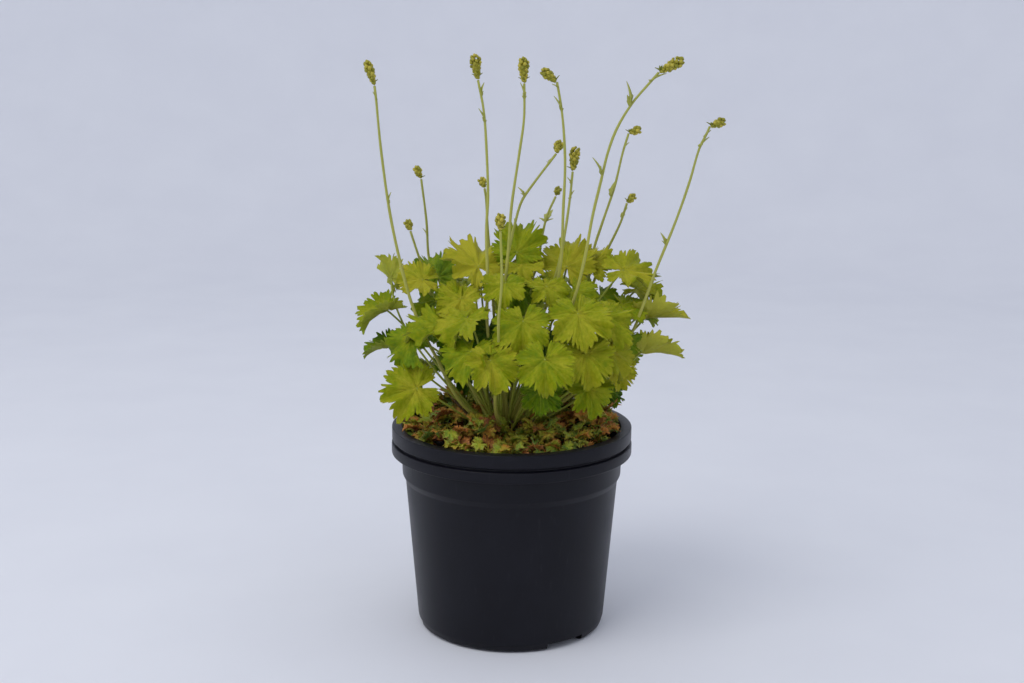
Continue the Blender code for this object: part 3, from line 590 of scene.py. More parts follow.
def black_plastic():
    """Moulded polypropylene: satin near-black, scuffed and faintly dusty in patches"""
    finish = Finish("black plastic", (0.006, 0.006, 0.009))
    scuffs = finish.clouds(2.2 * MM, 5, (1, 1, 0.12))
    haze = finish.clouds(45 * MM, 3)
    fine = finish.clouds(0.5 * MM, 2)
    scratch = ((scuffs - 0.62) * 5).clamp()
    dust = ((haze - 0.42) * 2.2).clamp()
    colour = finish.mix(dust * 0.5, (0.004, 0.004, 0.0075), (0.010, 0.0105, 0.016))
    colour = finish.mix(scratch * 0.35, colour, (0.03, 0.031, 0.037))
    return finish.done(
        Base_Color=colour,
        Roughness=0.36 + dust * 0.12 + scratch * 0.18,
        Normal=finish.bump(fine + scuffs * 0.6, 0.05 * MM, 0.6),
        Specular_IOR_Level=0.2,
    )


def potting_soil():
    """Moist peat and bark: dark brown with paler fibres"""
    finish = Finish("potting soil", (0.035, 0.024, 0.017))
    lumps = finish.clouds(6 * MM, 4)
    fibres = finish.clouds(0.9 * MM, 4)
    shade = lumps * 0.5 + fibres * 0.5
    colour = finish.ramp(shade, [(0.3, (0.008, 0.005, 0.004)), (0.5, (0.028, 0.018, 0.011)),
                                 (0.68, (0.085, 0.052, 0.028))])
    return finish.done(
        Base_Color=colour,
        Roughness=0.98 - 0.25 * lumps,
        Normal=finish.bump(fibres, 0.6 * MM),
    )


def old_wood():
    """The crown: brown and buff, with dry scales"""
    finish = Finish("crown wood", (0.12, 0.09, 0.045))
    bands = finish.clouds(2.5 * MM, 4, (1, 1, 0.5))
    colour = finish.ramp(bands, [(0.32, (0.03, 0.016, 0.008)), (0.5, (0.12, 0.07, 0.028)),
                                 (0.7, (0.26, 0.17, 0.07))])
    return finish.done(Base_Color=colour, Roughness=0.85, Normal=finish.bump(bands, 0.5 * MM))


def young_leaf():
    """Leaf blade: green to yellow olive by its tone, which holds painted light and shade as well as the
    leaf's own colour, with pale veins, a pale back and a soft nap
    """
    finish = Finish("leaf blade", (0.16, 0.24, 0.018))
    broad = finish.clouds(14 * MM, 3)
    mottle = finish.clouds(2.4 * MM, 4)
    nap = finish.clouds(0.35 * MM, 2)
    vein = (1.5 - finish.value("vein")).clamp()
    # Painted light and shade: the tone is lower, towards deep green, for leaves in shade and higher for
    # leaves high in the light
    shade = finish.value("tone") + (broad - 0.5) * 0.9 + (mottle - 0.5) * 0.7
    colour = finish.ramp(shade, [(0.0, (0.035, 0.09, 0.002)), (0.3, (0.14, 0.225, 0.003)),
                                 (0.6, (0.245, 0.285, 0.003)), (1.0, (0.41, 0.38, 0.02))])
    colour = finish.mix(vein * 0.12, colour, (0.48, 0.48, 0.05))
    colour = finish.mix(finish.value("under") * 0.45, colour, (0.46, 0.46, 0.08))
    edge = ((finish.value("rim") - 0.93) * 12).clamp()
    colour = finish.mix(edge * 0.3, colour, (0.17, 0.13, 0.008))
    return finish.done(
        Base_Color=colour,
        Roughness=0.5 + (mottle - 0.5) * 0.25,
        Normal=finish.bump(nap * 0.4 + mottle + vein * -0.3, 0.7 * MM, 0.8),
        Specular_IOR_Level=0.12,
        **flesh(0.25, (0.7, 1.0, 0.2), 1.0 * MM),
    )


def stalk_skin(name, foot, tip):
    """Petiole or flower stem: ribbed skin, from the colour of its foot to that of its tip"""
    finish = Finish(name, tip)
    ribs = finish.clouds(0.7 * MM, 3, (1, 1, 0.07))
    blush = finish.clouds(18 * MM, 2)
    along = (finish.value("along") * 1.3 + (blush - 0.5) * 0.9).clamp()
    colour = finish.mix(along, foot, tip)
    colour = finish.mix(ribs * 0.35, colour, (0.50, 0.50, 0.14))
    return finish.done(
        Base_Color=colour,
        Roughness=0.55,
        Normal=finish.bump(ribs, 0.2 * MM, 0.7),
        Specular_IOR_Level=0.35,
        **flesh(0.15, (0.8, 1.0, 0.3), 1.2 * MM),
    )


def bud_skin():
    """Buds: olive yellow, each a little greener or browner at random"""
    finish = Finish("bud skin", (0.17, 0.19, 0.015))
    grain = finish.clouds(0.6 * MM, 3)
    ripe = finish.value("tone") + (grain - 0.5) * 0.5
    colour = finish.ramp(ripe, [(0.0, (0.16, 0.18, 0.008)), (0.4, (0.32, 0.29, 0.014)),
                                (0.8, (0.52, 0.44, 0.05)), (1.0, (0.26, 0.15, 0.02))])
    return finish.done(
        Base_Color=colour,
        Roughness=0.6,
        Normal=finish.bump(grain, 0.2 * MM, 0.8),
        **flesh(0.15, (0.8, 1.0, 0.3), 1.0 * MM),
    )


def old_leaf(name, colour):
    """Old leaves of the mat: dull green, olive, orange and russet, dry at the rim"""
    finish = Finish(name, colour)
    broad = finish.clouds(9 * MM, 3)
    mottle = finish.clouds(1.6 * MM, 4)
    vein = (1.5 - finish.value("vein")).clamp()
    shade = finish.value("tone") + (broad - 0.5) * 0.7 + (mottle - 0.5) * 0.5
    colour = finish.ramp(shade, [(0.0, (0.10, 0.21, 0.022)), (0.28, (0.30, 0.36, 0.014)),
                                 (0.5, (0.42, 0.35, 0.018)), (0.72, (0.56, 0.22, 0.03)),
                                 (1.0, (0.20, 0.05, 0.015))])
    colour = finish.mix(vein * 0.2, colour, (0.42, 0.40, 0.08))
    edge = ((finish.value("rim") - 0.78) * 4.5).clamp()
    colour = finish.mix(edge * 0.4, colour, (0.34, 0.13, 0.03))
    return finish.done(
        Base_Color=colour,
        Roughness=0.62 + (mottle - 0.5) * 0.3,
        Normal=finish.bump(mottle, 0.4 * MM),
        **flesh(0.1, (1.0, 0.6, 0.2), 1.0 * MM),
    )


def pale_floor():
    """A matt, painted studio floor"""
    finish = Finish("pale floor", (0.8, 0.81, 0.85))
    brushed = finish.clouds(120 * MM, 3)
    return finish.done(
        Base_Color=finish.mix(brushed, (0.76, 0.77, 0.82), (0.82, 0.83, 0.87)),
        Roughness=0.7,
    )


def stand(name, data):
    """A new object in the scene, for a mesh, a light or a camera"""
    made = bpy.data.objects.new(name, data)
    bpy.context.scene.collection.objects.link(made)
    return made


def grid_faces(index, flip=False):
    """Faces of a grid of point numbers: quads, and triangles where two numbers of a quad are the same"""
    first, second = index[:-1, :-1].ravel(), index[1:, :-1].ravel()
    third, fourth = index[1:, 1:].ravel(), index[:-1, 1:].ravel()
    quads = np.stack([first, second, third, fourth], 1)
    pinched_top, pinched_foot = first == fourth, second == third
    blocks = [
        quads[~pinched_top & ~pinched_foot],
        quads[pinched_top & ~pinched_foot][:, :3],
        quads[pinched_foot & ~pinched_top][:, [0, 1, 3]],
    ]
    return [block[:, ::-1] if flip else block for block in blocks if len(block)]


def point_normals(points, blocks):
    """Unit normals at the points of an open surface"""
    normals = np.zeros_like(points)
    for block in blocks:
        first, second, third = (points[block[:, corner]] for corner in range(3))
        facing = np.cross(second - first, third - first)
        for corner in range(block.shape[1]):
            np.add.at(normals, block[:, corner], facing)
    return normals / np.maximum(np.linalg.norm(normals, axis=1, keepdims=True), 1e-12)


class Form:
    """The points, faces and surface values of a piece while it is being made"""

    def __init__(self, *names):
        self.points = []
        self.faces = []
        self.finishes = []
        self.values = {name: [] for name in names}
        self.count = 0

    def add(self, points, blocks, finish=0, **values):
        """Add a closed surface. A value is one number for all its points, or one for each"""
        for block in blocks:
            self.faces.extend((block + self.count).tolist())
            self.finishes.extend([finish] * len(block))
        self.points.append(points)
        for name, gathered in self.values.items():
            gathered.append(np.broadcast_to(values.get(name, 0.0), len(points)))
        self.count += len(points)

    def add_slab(self, points, blocks, thickness, **values):
        """Add a closed blade: an open surface and its back, joined by a wall along its edge"""
        offset = point_normals(points, blocks) * np.reshape(thickness, (-1, 1)) / 2
        count = len(points)
        faces = [face for block in blocks for face in block.tolist()]
        edges = {edge for face in faces for edge in zip(face, face[1:] + face[:1])}
        wall = sorted((b, a, a + count, b + count) for a, b in edges if (b, a) not in edges)
        closed = [*blocks, *(block[:, ::-1] + count for block in blocks), np.array(wall)]
        both = {name: np.tile(np.broadcast_to(value, count), 2) for name, value in values.items()}
        both["under"] = np.repeat([0.0, 1.0], count)
        self.add(np.concatenate([points + offset, points - offset]), closed, **both)

    def make(self, name, materials):
        """The piece's object, shaded smooth"""
        mesh = bpy.data.meshes.new(name)
        mesh.from_pydata(np.concatenate(self.points).tolist(), [], self.faces)
        for material in materials:
            mesh.materials.append(material)
        mesh.polygons.foreach_set("material_index", self.finishes)
        for label, gathered in self.values.items():
            layer = mesh.attributes.new(label, "FLOAT", "POINT")
            layer.data.foreach_set("value", np.concatenate(gathered).astype(np.float32))
        mesh.shade_smooth()
        mesh.update()
        return stand(name, mesh)


def dress(piece, node):
    """Let a piece stand for a node of the frame"""
    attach(piece, "root")
    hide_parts(node)


def turned(rows, sides):
    """Points and faces of a closed turned form: (radius, height) rows from its top pole to its foot"""
    angles = np.arange(sides) * 2 * math.pi / sides
    rings = [np.stack([radius * np.cos(angles), radius * np.sin(angles), np.full(sides, height)], 1)
             for radius, height in rows[1:-1]]
    points = np.concatenate([[(0, 0, rows[0][1])], *rings, [(0, 0, rows[-1][1])]])
    index = np.zeros((len(rows), sides + 1), int)
    index[1:-1] = 1 + np.arange(len(rings))[:, None] * sides + np.arange(sides + 1) % sides
    index[-1] = len(points) - 1
    return points, grid_faces(index)


def crumple(points, grain, depth, seed):
    """Points pushed out and in by smooth noise, away from their own middle"""
    offset = Vector((seed * 7.3, seed * 3.1, seed * 5.7))
    swell = np.array([noise.noise(Vector(point) / grain + offset) for point in points])
    away = points - points.mean(0)
    outward = away / np.maximum(np.linalg.norm(away, axis=1, keepdims=True), 1e-9)
    return points + outward * swell[:, None] * depth


def along_frames(path):
    """Directions across a path at each of its points, turned as little as possible along it"""
    tangents = np.gradient(path, axis=0)
    tangents /= np.linalg.norm(tangents, axis=1, keepdims=True)
    across = np.cross(tangents[0], (0.3, 0.8, 0.52))
    sides = []
    for tangent in tangents:
        across = across - tangent * (across @ tangent)
        across = across / np.linalg.norm(across)
        sides.append(across)
    sides = np.array(sides)
    return tangents, sides, np.cross(tangents, sides)


def add_tube(form, path, radii, sides, finish=0, **values):
    """Add a round tube along a path, with domed ends"""
    path = np.array(path, float)
    radii = np.broadcast_to(radii, len(path))
    tangents, across, up = along_frames(path)
    angles = np.arange(sides) * 2 * math.pi / sides
    round_it = across[:, None] * np.cos(angles)[:, None] + up[:, None] * np.sin(angles)[:, None]
    rings = path[:, None] + round_it * radii[:, None, None]
    foot = path[0] - tangents[0] * radii[0] * 0.5
    tip = path[-1] + tangents[-1] * radii[-1] * 0.5
    points = np.concatenate([[foot], rings.reshape(-1, 3), [tip]])
    index = np.zeros((len(path) + 2, sides + 1), int)
    index[1:-1] = 1 + np.arange(len(path))[:, None] * sides + np.arange(sides + 1) % sides
    index[-1] = len(points) - 1
    spread = {}
    for name, value in values.items():
        ring_values = np.repeat(np.broadcast_to(value, len(path)), sides)
        spread[name] = np.concatenate([ring_values[:1], ring_values, ring_values[-1:]])
    form.add(points, grid_faces(index, flip=True), finish, **spread)


def add_hairs(form, path, radii, spacing, chance, finish=0, **values):
    """Add short, fine hairs, each a three-sided spike, all along a round stalk"""
    path = np.array(path, float)
    radii = np.broadcast_to(radii, len(path))
    tangents, across, up = along_frames(path)
    length = np.linalg.norm(np.diff(path, axis=0), axis=1).sum()
    count = int(length / spacing)
    spots = np.array([chance.random() for _ in range(count)]) * (len(path) - 1.001)
    turns = np.array([chance.random() for _ in range(count)]) * 2 * math.pi
    reaches = np.array([chance.uniform(0.5, 1) for _ in range(count)]) * HAIR_LENGTH
    low = spots.astype(int)
    share = (spots - low)[:, None]
    centre = path[low] * (1 - share) + path[low + 1] * share
    radius = (radii[low] * (1 - share[:, 0]) + radii[low + 1] * share[:, 0])[:, None]
    out = across[low] * np.cos(turns)[:, None] + up[low] * np.sin(turns)[:, None]
    aside = np.cross(tangents[low], out)
    foot = centre + out * radius * HAIR_ROOT
    tips = centre + out * (radius + reaches[:, None]) + tangents[low] * reaches[:, None] * HAIR_LEAN
    corners = [foot + HAIR_RADIUS * (aside * math.cos(turn) + tangents[low] * math.sin(turn))
               for turn in (0, 2 * math.pi / 3, 4 * math.pi / 3)]
    points = np.stack([*corners, tips], 1).reshape(-1, 3)
    first = np.arange(count)[:, None] * 4
    spike = (0, 2, 1), (0, 1, 3), (1, 2, 3), (2, 0, 3)
    faces = np.concatenate([first + np.array(face) for face in spike])
    stations = np.arange(len(path))
    repeated = {name: np.repeat(np.interp(spots, stations, np.broadcast_to(value, len(path))), 4)
                for name, value in values.items()}
    form.add(points, [faces], finish, **repeated)


def filleted(points, radius, steps=3):
    """A profile with its corners rounded"""
    made = [points[0]]
    for before, corner, after in zip(points, points[1:], points[2:]):
        before, corner, after = Vector(before), Vector(corner), Vector(after)
        start = corner + (before - corner).normalized() * min(radius, (before - corner).length * 0.45)
        end = corner + (after - corner).normalized() * min(radius, (after - corner).length * 0.45)
        for step in range(steps + 1):
            t = step / steps
            made.append(tuple(start * (1 - t) ** 2 + corner * 2 * t * (1 - t) + end * t * t))
    return made + [points[-1]]


def around(radius, angle, height=0.0):
    """A point at a radius and an angle (radians) round the pot's axis"""
    return Vector((radius * math.cos(angle), radius * math.sin(angle), height))


def inner_radius(height):
    """Inner radius of the pot's wall at a height"""
    foot = BASE_RADIUS - WALL
    return foot + (MOUTH_RADIUS - foot) * (height - FLOOR_TOP) / (POT_HEIGHT - FLOOR_TOP)


def cutter(where, name, make, place, turn, **sizes):
    """A cutter from one of bmesh's solids, in a collection of cutters"""
    shape = bmesh.new()
    make(shape, **sizes)
    mesh = bpy.data.meshes.new(name)
    shape.to_mesh(mesh)
    shape.free()
    made = bpy.data.objects.new(name, mesh)
    where.objects.link(made)
    made.location = place
    made.rotation_euler.z = turn


def pot_profile():
    """The pot's thin wall in section: up its inside, over the lip, down its outside, its corners rounded"""
    groove = RIM_RADIUS - GROOVE_DEPTH
    lip_inside = groove - LIP_WALL
    band = RIM_RADIUS + BAND_PROUD
    corners = [
        (0, FLOOR_TOP),
        (inner_radius(FLOOR_TOP), FLOOR_TOP),
        (MOUTH_RADIUS, POT_HEIGHT),
        (RIM_RADIUS, POT_HEIGHT),
        (RIM_RADIUS, GROOVE_TOP),
        (groove, GROOVE_TOP - 0.5 * MM),
        (groove, GROOVE_BOTTOM + 0.3 * MM),
        (band, GROOVE_BOTTOM),
        (band, LIP_BOTTOM),
        (lip_inside, LIP_BOTTOM),
        (lip_inside, POT_HEIGHT - 2 * LIP_ROUND),
        (COLLAR_RADIUS + COLLAR_TAPER, POT_HEIGHT - 2 * LIP_ROUND),
        (COLLAR_RADIUS - COLLAR_TAPER, COLLAR_BOTTOM),
        (BODY_TOP_RADIUS, BODY_TOP),
        (BASE_RADIUS, FOOT_ROUND * 1.4),
        (BASE_RADIUS - FOOT_ROUND * 0.3, FOOT_ROUND * 0.35),
        (BASE_RADIUS - FOOT_ROUND, 0),
        (0, 0),
    ]
    return filleted(corners, POT_CORNER)


def drain_cutters():
    """A collection of the boxes and drills that cut the drain notches and their holes"""
    cutters = bpy.data.collections.new("drain cutters")
    bpy.context.scene.collection.children.link(cutters)
    middle = (NOTCH_INNER_RADIUS + RIM_RADIUS) / 2
    box = Matrix.Diagonal((RIM_RADIUS - NOTCH_INNER_RADIUS, NOTCH_WIDTH, 2 * NOTCH_HEIGHT, 1))
    drill = {"cap_ends": True, "segments": 24, "radius1": DRAIN_RADIUS, "radius2": DRAIN_RADIUS,
             "depth": 2 * FLOOR_TOP}
    for number in range(NOTCH_COUNT):
        turn = math.radians(NOTCH_FIRST_DEG + number * 360 / NOTCH_COUNT)
        place = around(middle, turn)
        cutter(cutters, f"notch_{number + 1}", bmesh.ops.create_cube, place, turn, size=1, matrix=box)
        for side in (-1, 1):
            place = around(DRAIN_AT_RADIUS, turn + math.radians(side * DRAIN_SPREAD_DEG), FLOOR_TOP)
            name = f"drain_{number + 1}_{side + 2}"
            cutter(cutters, name, bmesh.ops.create_cone, place, turn, **drill)
    return cutters


def build_pot(finish):
    """The pot: its wall turned and its drains cut by modifiers, which are then applied"""
    profile = pot_profile()
    mesh = bpy.data.meshes.new("pot_fine")
    edges = [(number, number + 1) for number in range(len(profile) - 1)]
    mesh.from_pydata([(radius, 0, height) for radius, height in profile], edges, [])
    mesh.materials.append(finish)
    pot = stand("pot_fine", mesh)
    screw = pot.modifiers.new("Turn", "SCREW")
    screw.steps = POT_SIDES
    screw.render_steps = POT_SIDES
    screw.use_merge_vertices = True
    screw.merge_threshold = 0.00001
    cutters = drain_cutters()
    cut = pot.modifiers.new("Drains", "BOOLEAN")
    cut.operation = "DIFFERENCE"
    cut.operand_type = "COLLECTION"
    cut.collection = cutters
    bpy.context.view_layer.update()
    graph = bpy.context.evaluated_depsgraph_get()
    applied = bpy.data.meshes.new_from_object(pot.evaluated_get(graph))
    pot.modifiers.clear()
    pot.data = applied
    for used in list(cutters.objects):
        bpy.data.objects.remove(used)
    bpy.data.collections.remove(cutters)
    applied.shade_smooth()
    applied.set_sharp_from_angle(angle=math.radians(POT_SHARP_DEG))
    dress(pot, "pot")


def soil_height(x, y):
    """Height of the soil's lumpy top"""
    mound = MOUND_RISE * max(0, 1 - math.hypot(x, y) / MOUND_RADIUS)
    lumps = math.sin(x * 190 + 1.3) * math.cos(y * 170 + 0.4) + 0.6 * math.sin(x * 310 - y * 260)
    return SOIL_LEVEL + mound + 0.8 * MM * lumps


def build_soil(finish):
    """The soil: a plug with a lumpy, crumbly top"""
    chance = random.Random(3)
    edge = inner_radius(SOIL_LEVEL) - SOIL_SLACK
    rows = [(0, SOIL_LEVEL)]
    rows += [(edge * step / SOIL_RINGS, SOIL_LEVEL) for step in range(1, SOIL_RINGS + 1)]
    rows += [(inner_radius(SOIL_FOOT) - SOIL_SLACK, SOIL_FOOT), (0, SOIL_FOOT)]
    points, blocks = turned(rows, SOIL_SIDES)
    for point in points:
        if point[2] > SOIL_LEVEL - MM:
            rough = noise.fractal(Vector(point) / (5 * MM), 0.8, 2.0, 4)
            point[2] = soil_height(point[0], point[1]) + 0.9 * MM * rough
    form = Form()
    form.add(points, blocks)
    lump, lump_blocks = turned(CRUMB_PROFILE, CRUMB_SIDES)
    for number in range(CRUMBS):
        radius = edge * math.sqrt(chance.random()) * 0.97
        angle = chance.uniform(0, 2 * math.pi)
        size = chance.uniform(*CRUMB_SIZES) * MM
        place = around(radius, angle)
        place.z = soil_height(place.x, place.y) + size * 0.4
        shape = lump * np.array([chance.uniform(*span) for span in CRUMB_SPANS])
        turn = np.array(Matrix.Rotation(chance.uniform(0, 6.3), 3, "Z"))
        form.add(crumple(shape @ turn.T, 0.7, 0.35, number) * size + np.array(place), lump_blocks)
    dress(form.make("soil_fine", [finish]), "soil")


def build_crown(wood):
    """The crown: a knobbly dome with the stubs of old petioles and a few dead stalks"""
    chance = random.Random(5)
    neck = math.acos(CROWN_WAIST / CROWN_RADIUS)
    rows = []
    for step in range(CROWN_STEPS + 1):
        angle = math.pi / 2 - step * (math.pi / 2 - neck) / CROWN_STEPS
        rows.append((CROWN_RADIUS * math.cos(angle), CROWN_RADIUS * math.sin(angle)))
    foot = CROWN_FOOT - CROWN_CENTRE.z
    rows += [(CROWN_WAIST, foot), (0, foot)]
    points, blocks = turned(rows, CROWN_SIDES)
    points = crumple(points, 4 * MM, 1.6 * MM, 1) + np.array(CROWN_CENTRE)
    form = Form()
    form.add(points, blocks)
    for number in range(OLD_BASES + DEAD_STALKS):
        rise = math.radians(chance.uniform(*STUB_RISES))
        out = around(math.cos(rise), number * GOLDEN_ANGLE, math.sin(rise))
        start = CROWN_CENTRE + out * (CROWN_RADIUS - STUB_SUNK)
        if number < OLD_BASES:
            length = chance.uniform(*STUB_LENGTHS) * MM
            radius = chance.uniform(*STUB_RADII) * MM
        else:
            length = chance.uniform(*DEAD_LENGTHS) * MM
            radius = DEAD_RADIUS
        droop = Vector((0, 0, chance.uniform(-0.1, 0.35)))
        path = [start + out * length * t + droop * length * t * t for t in (0, 0.25, 0.5, 0.75, 1)]
        radii = radius * np.array([1.15, 1, 0.95, 0.85, 0.55])
        add_tube(form, path, radii, TWIG_SIDES)
    dress(form.make("crown_fine", [wood]), "crown")


def frame_axes(heading, pitch, roll=0.0):
    """Tip, left side and upper-face directions of a blade, from its angles in degrees"""
    heading, pitch, roll = (math.radians(value) for value in (heading, pitch, roll))
    tip = around(math.cos(pitch), heading, math.sin(pitch))
    level = Vector((-math.sin(heading), math.cos(heading), 0))
    side = math.cos(roll) * level + math.sin(roll) * tip.cross(level)
    return tip, side, tip.cross(side)


def calmness(blade):
    """How ruffled a leaf is, up to 1: one that is folded along its middle is stiffer"""
    return 1 - blade.cup / STIFF_CUP_DEG


def blade_points(blade, angles, reaches, lift):
    """Points of a leaf's middle surface, from angles off its tip and reaches from its hub"""
    tip, side, normal = (np.array(axis) for axis in frame_axes(blade.heading, blade.pitch, blade.roll))
    along, across = reaches * np.cos(angles), reaches * np.sin(angles)
    bend = math.radians(blade.bend) / (blade.half_width * (1 + TIP_REACH))
    cup = math.radians(blade.cup) / blade.half_width
    turn, roll = bend * along, cup * across
    ruffle = np.cos(2 * math.pi * angles / LOBE_TURN + math.pi * (LOBES % 2))
    wave = calmness(blade) * WAVE * ruffle * reaches ** 2 / blade.half_width
    rise = (1 - np.cos(roll)) / cup + wave + lift
    return (
        np.array(blade.hub)
        + np.outer(np.sin(turn) * (1 / bend + rise), tip)
        + np.outer((np.cos(turn) - 1) / bend + np.cos(turn) * rise, normal)
        + np.outer(np.sin(roll) / cup, side)
    )


def smooth_through(points, samples):
    """Points of a smooth curve through the given ones, with samples from each to the next"""
    points = np.array(points, float)
    ends = np.concatenate([[2 * points[0] - points[1]], points, [2 * points[-1] - points[-2]]])
    t = (np.arange(samples) / samples)[:, None, None]
    before, a, b, after = ends[:-3], ends[1:-2], ends[2:-1], ends[3:]
    curve = 0.5 * (2 * a + (b - before) * t + (2 * before - 5 * a + 4 * b - after) * t ** 2
                   + (3 * a - before - 3 * b + after) * t ** 3)
    return np.concatenate([curve.transpose(1, 0, 2).reshape(-1, points.shape[1]), points[-1:]])


def margin(half_lobe, samples, chance):
    """Angles and reaches, in half widths, of a lobed and toothed margin, a little different each time"""
    lobe_shape = half_lobe + [(1 - share, reach) for share, reach in half_lobe[-2:0:-1]]
    keys = []
    for lobe in range(LOBES):
        size = chance.uniform(*LOBE_SIZES)
        for share, reach in lobe_shape:
            shift = chance.uniform(-TOOTH_SHIFT, TOOTH_SHIFT) if share else 0
            keys.append((lobe + share + shift, reach * size * chance.uniform(*TOOTH_SIZES)))
    keys.append((LOBES, half_lobe[0][1]))
    fine = smooth_through(keys, samples)
    angles = -BLADE_SPAN + fine[:, 0] * LOBE_TURN
    return angles, fine[:, 1] * (1 + TIP_REACH * np.cos(angles))


def vein_segments():
    """Straight runs of a leaf's veins, flat, in half widths, and each run's width"""
    runs, widths = [], []
    for lobe in range(LOBES):
        middle = -BLADE_SPAN + (lobe + 0.5) * LOBE_TURN
        long = 1 + TIP_REACH * math.cos(middle)
        axis = np.array([math.cos(middle), math.sin(middle)])
        bend = axis * VEIN_BEND * long
        runs += [(axis * 0, bend), (bend, axis * 0.98 * long)]
        widths += MAIN_VEIN_WIDTHS
        for share, start, reach in SIDE_VEINS:
            for side in (-1, 1):
                angle = middle + side * share * LOBE_TURN
                end = np.array([math.cos(angle), math.sin(angle)]) * reach * long
                begin = axis * start * long
                bow = (begin + end) / 2 + axis * VEIN_BOW
                runs += [(begin, bow), (bow, end)]
                widths += SIDE_VEIN_WIDTHS
    return np.array(runs), np.array(widths)


VEINS, VEIN_WIDTHS = vein_segments()


def vein_distance(flat):
    """Distance of flat points from the nearest vein, in widths of that vein"""
    start = VEINS[:, 0]
    run = VEINS[:, 1] - start
    offset = flat[:, None] - start[None]
    share = np.clip((offset * run).sum(2) / (run ** 2).sum(1), 0, 1)
    apart = np.linalg.norm(offset - share[..., None] * run, axis=2)
    return np.minimum((apart / VEIN_WIDTHS).min(1), NO_VEIN)


def blade_grid(angles, reaches, rings):
    """A blade's points from its hub to its margin: their angles, reaches and ring shares, and its faces"""
    rings = np.array(rings)
    columns = len(angles)
    closing = np.clip((rings[2] - rings) / (rings[2] - rings[1]), 0, 1)[:, None]
    turn = angles * (1 + closing * (math.pi / BLADE_SPAN - 1))
    reach = rings[:, None] * reaches
    index = np.arange(len(rings) * columns).reshape(len(rings), columns)
    index[0] = 0
    index[1, -1] = index[1, 0]
    used, index = np.unique(index, return_inverse=True)
    index = index.reshape(len(rings), columns)
    return turn.ravel()[used], reach.ravel()[used], np.repeat(rings, columns)[used], grid_faces(index)


def add_blade(form, blade, half_lobe, samples, rings, thickness, chance):
    """Add a leaf blade: waved, curled and frilled, and puckered between its veins"""
    angles, reaches = margin(half_lobe, samples, chance)
    turn, reach, rim, blocks = blade_grid(angles, reaches, rings)
    along, across = reach * np.cos(turn), reach * np.sin(turn)
    vein = vein_distance(np.stack([along, across], 1))
    phases = [chance.uniform(0, 2 * math.pi) for _ in range(6)]
    curl = np.sin(2 * turn + phases[0]) * 0.5 + np.sin(5 * turn + phases[1]) * 0.5
    frill = np.sin(FRILL_WAVES * turn + phases[2]) * 0.6
    frill = frill + np.sin(TOOTH_WAVES * turn + phases[3]) * rim ** 5 * 0.3
    quilt = np.sin(along * 14 + across * 9 + phases[4]) * np.sin(across * 16 - along * 7 + phases[5])
    quilt = quilt + 0.6 * np.sin(along * 27 + phases[2]) * np.sin(across * 25 + phases[1])
    hollow = np.exp(-(vein / 2.2) ** 2)
    size = blade.half_width / (20 * MM)
    lift = CURL * curl * reach ** 2 + FRILL * frill * reach ** 3
    lift = calmness(blade) * blade.half_width * lift
    lift = lift + QUILT * size * quilt * np.clip(1.2 - rim, 0, 0.7)
    lift = lift - PUCKER * size * hollow * np.clip(1.1 - rim, 0, 1)
    points = blade_points(blade, turn, reach * blade.half_width, lift)
    thick = MARGIN_THICKNESS + (thickness - MARGIN_THICKNESS) * (1 - rim ** 3)
    thick = thick + VEIN_RIB * size * np.exp(-vein ** 2) * (1 - rim)
    form.add_slab(points, blocks, thick, vein=vein, tone=blade.tone, rim=rim)


def seat_direction(toward):
    """Direction of a seat on the crown's dome, no lower than the soil lets it be"""
    level = math.hypot(toward.x, toward.y)
    lowest = level * math.tan(math.radians(SEAT_LOWEST_DEG))
    return Vector((toward.x, toward.y, max(toward.z, lowest))).normalized()


def spread_seats(wanted):
    """Seats for all that rises from the crown, pushed apart on its dome until none crowd each other"""
    seats = [seat_direction(direction) for direction in wanted]
    least = 2 * math.sin(math.radians(SEAT_SPACING_DEG) / 2)
    for _ in range(SEAT_ROUNDS):
        for i in range(len(seats)):
            for j in range(i):
                apart = seats[i] - seats[j]
                if apart.length < least:
                    push = apart.normalized() * (least - apart.length) / 2
                    seats[i] = seat_direction(seats[i] + push)
                    seats[j] = seat_direction(seats[j] - push)
    return seats


def crown_seats():
    """The seat of each leaf group by name and of each flower stem by number"""
    wanted = {}
    for name, group in LEAF_GROUPS.items():
        wanted[name] = sum(((blade.hub - CROWN_CENTRE).normalized() for blade in group), Vector())
    for number, flower in enumerate(FLOWER_STEMS, 1):
        wanted[number] = flower.route[0] - CROWN_CENTRE
    return dict(zip(wanted, spread_seats(list(wanted.values()))))


def seat_point(outward):
    """Where a stalk leaves the crown's dome"""
    return CROWN_CENTRE + outward * (CROWN_RADIUS + SEAT_LIFT)


def petiole_path(blade, outward, count):
    """Points of a petiole: a cubic Bezier from its seat on the crown to the blade's hub"""
    seat = seat_point(outward)
    tip, _, normal = frame_axes(blade.heading, blade.pitch, blade.roll)
    span = blade.hub - seat
    arrival = (0.5 * tip + 0.6 * normal + 0.5 * span.normalized()).normalized()
    handles = seat, seat + outward * span.length * 0.3, blade.hub - arrival * span.length * 0.3, blade.hub
    points = []
    for number in range(count):
        t = number / (count - 1)
        weights = (1 - t) ** 3, 3 * t * (1 - t) ** 2, 3 * t * t * (1 - t), t ** 3
        points.append(sum((weight * handle for weight, handle in zip(weights, handles)), Vector()))
    return points


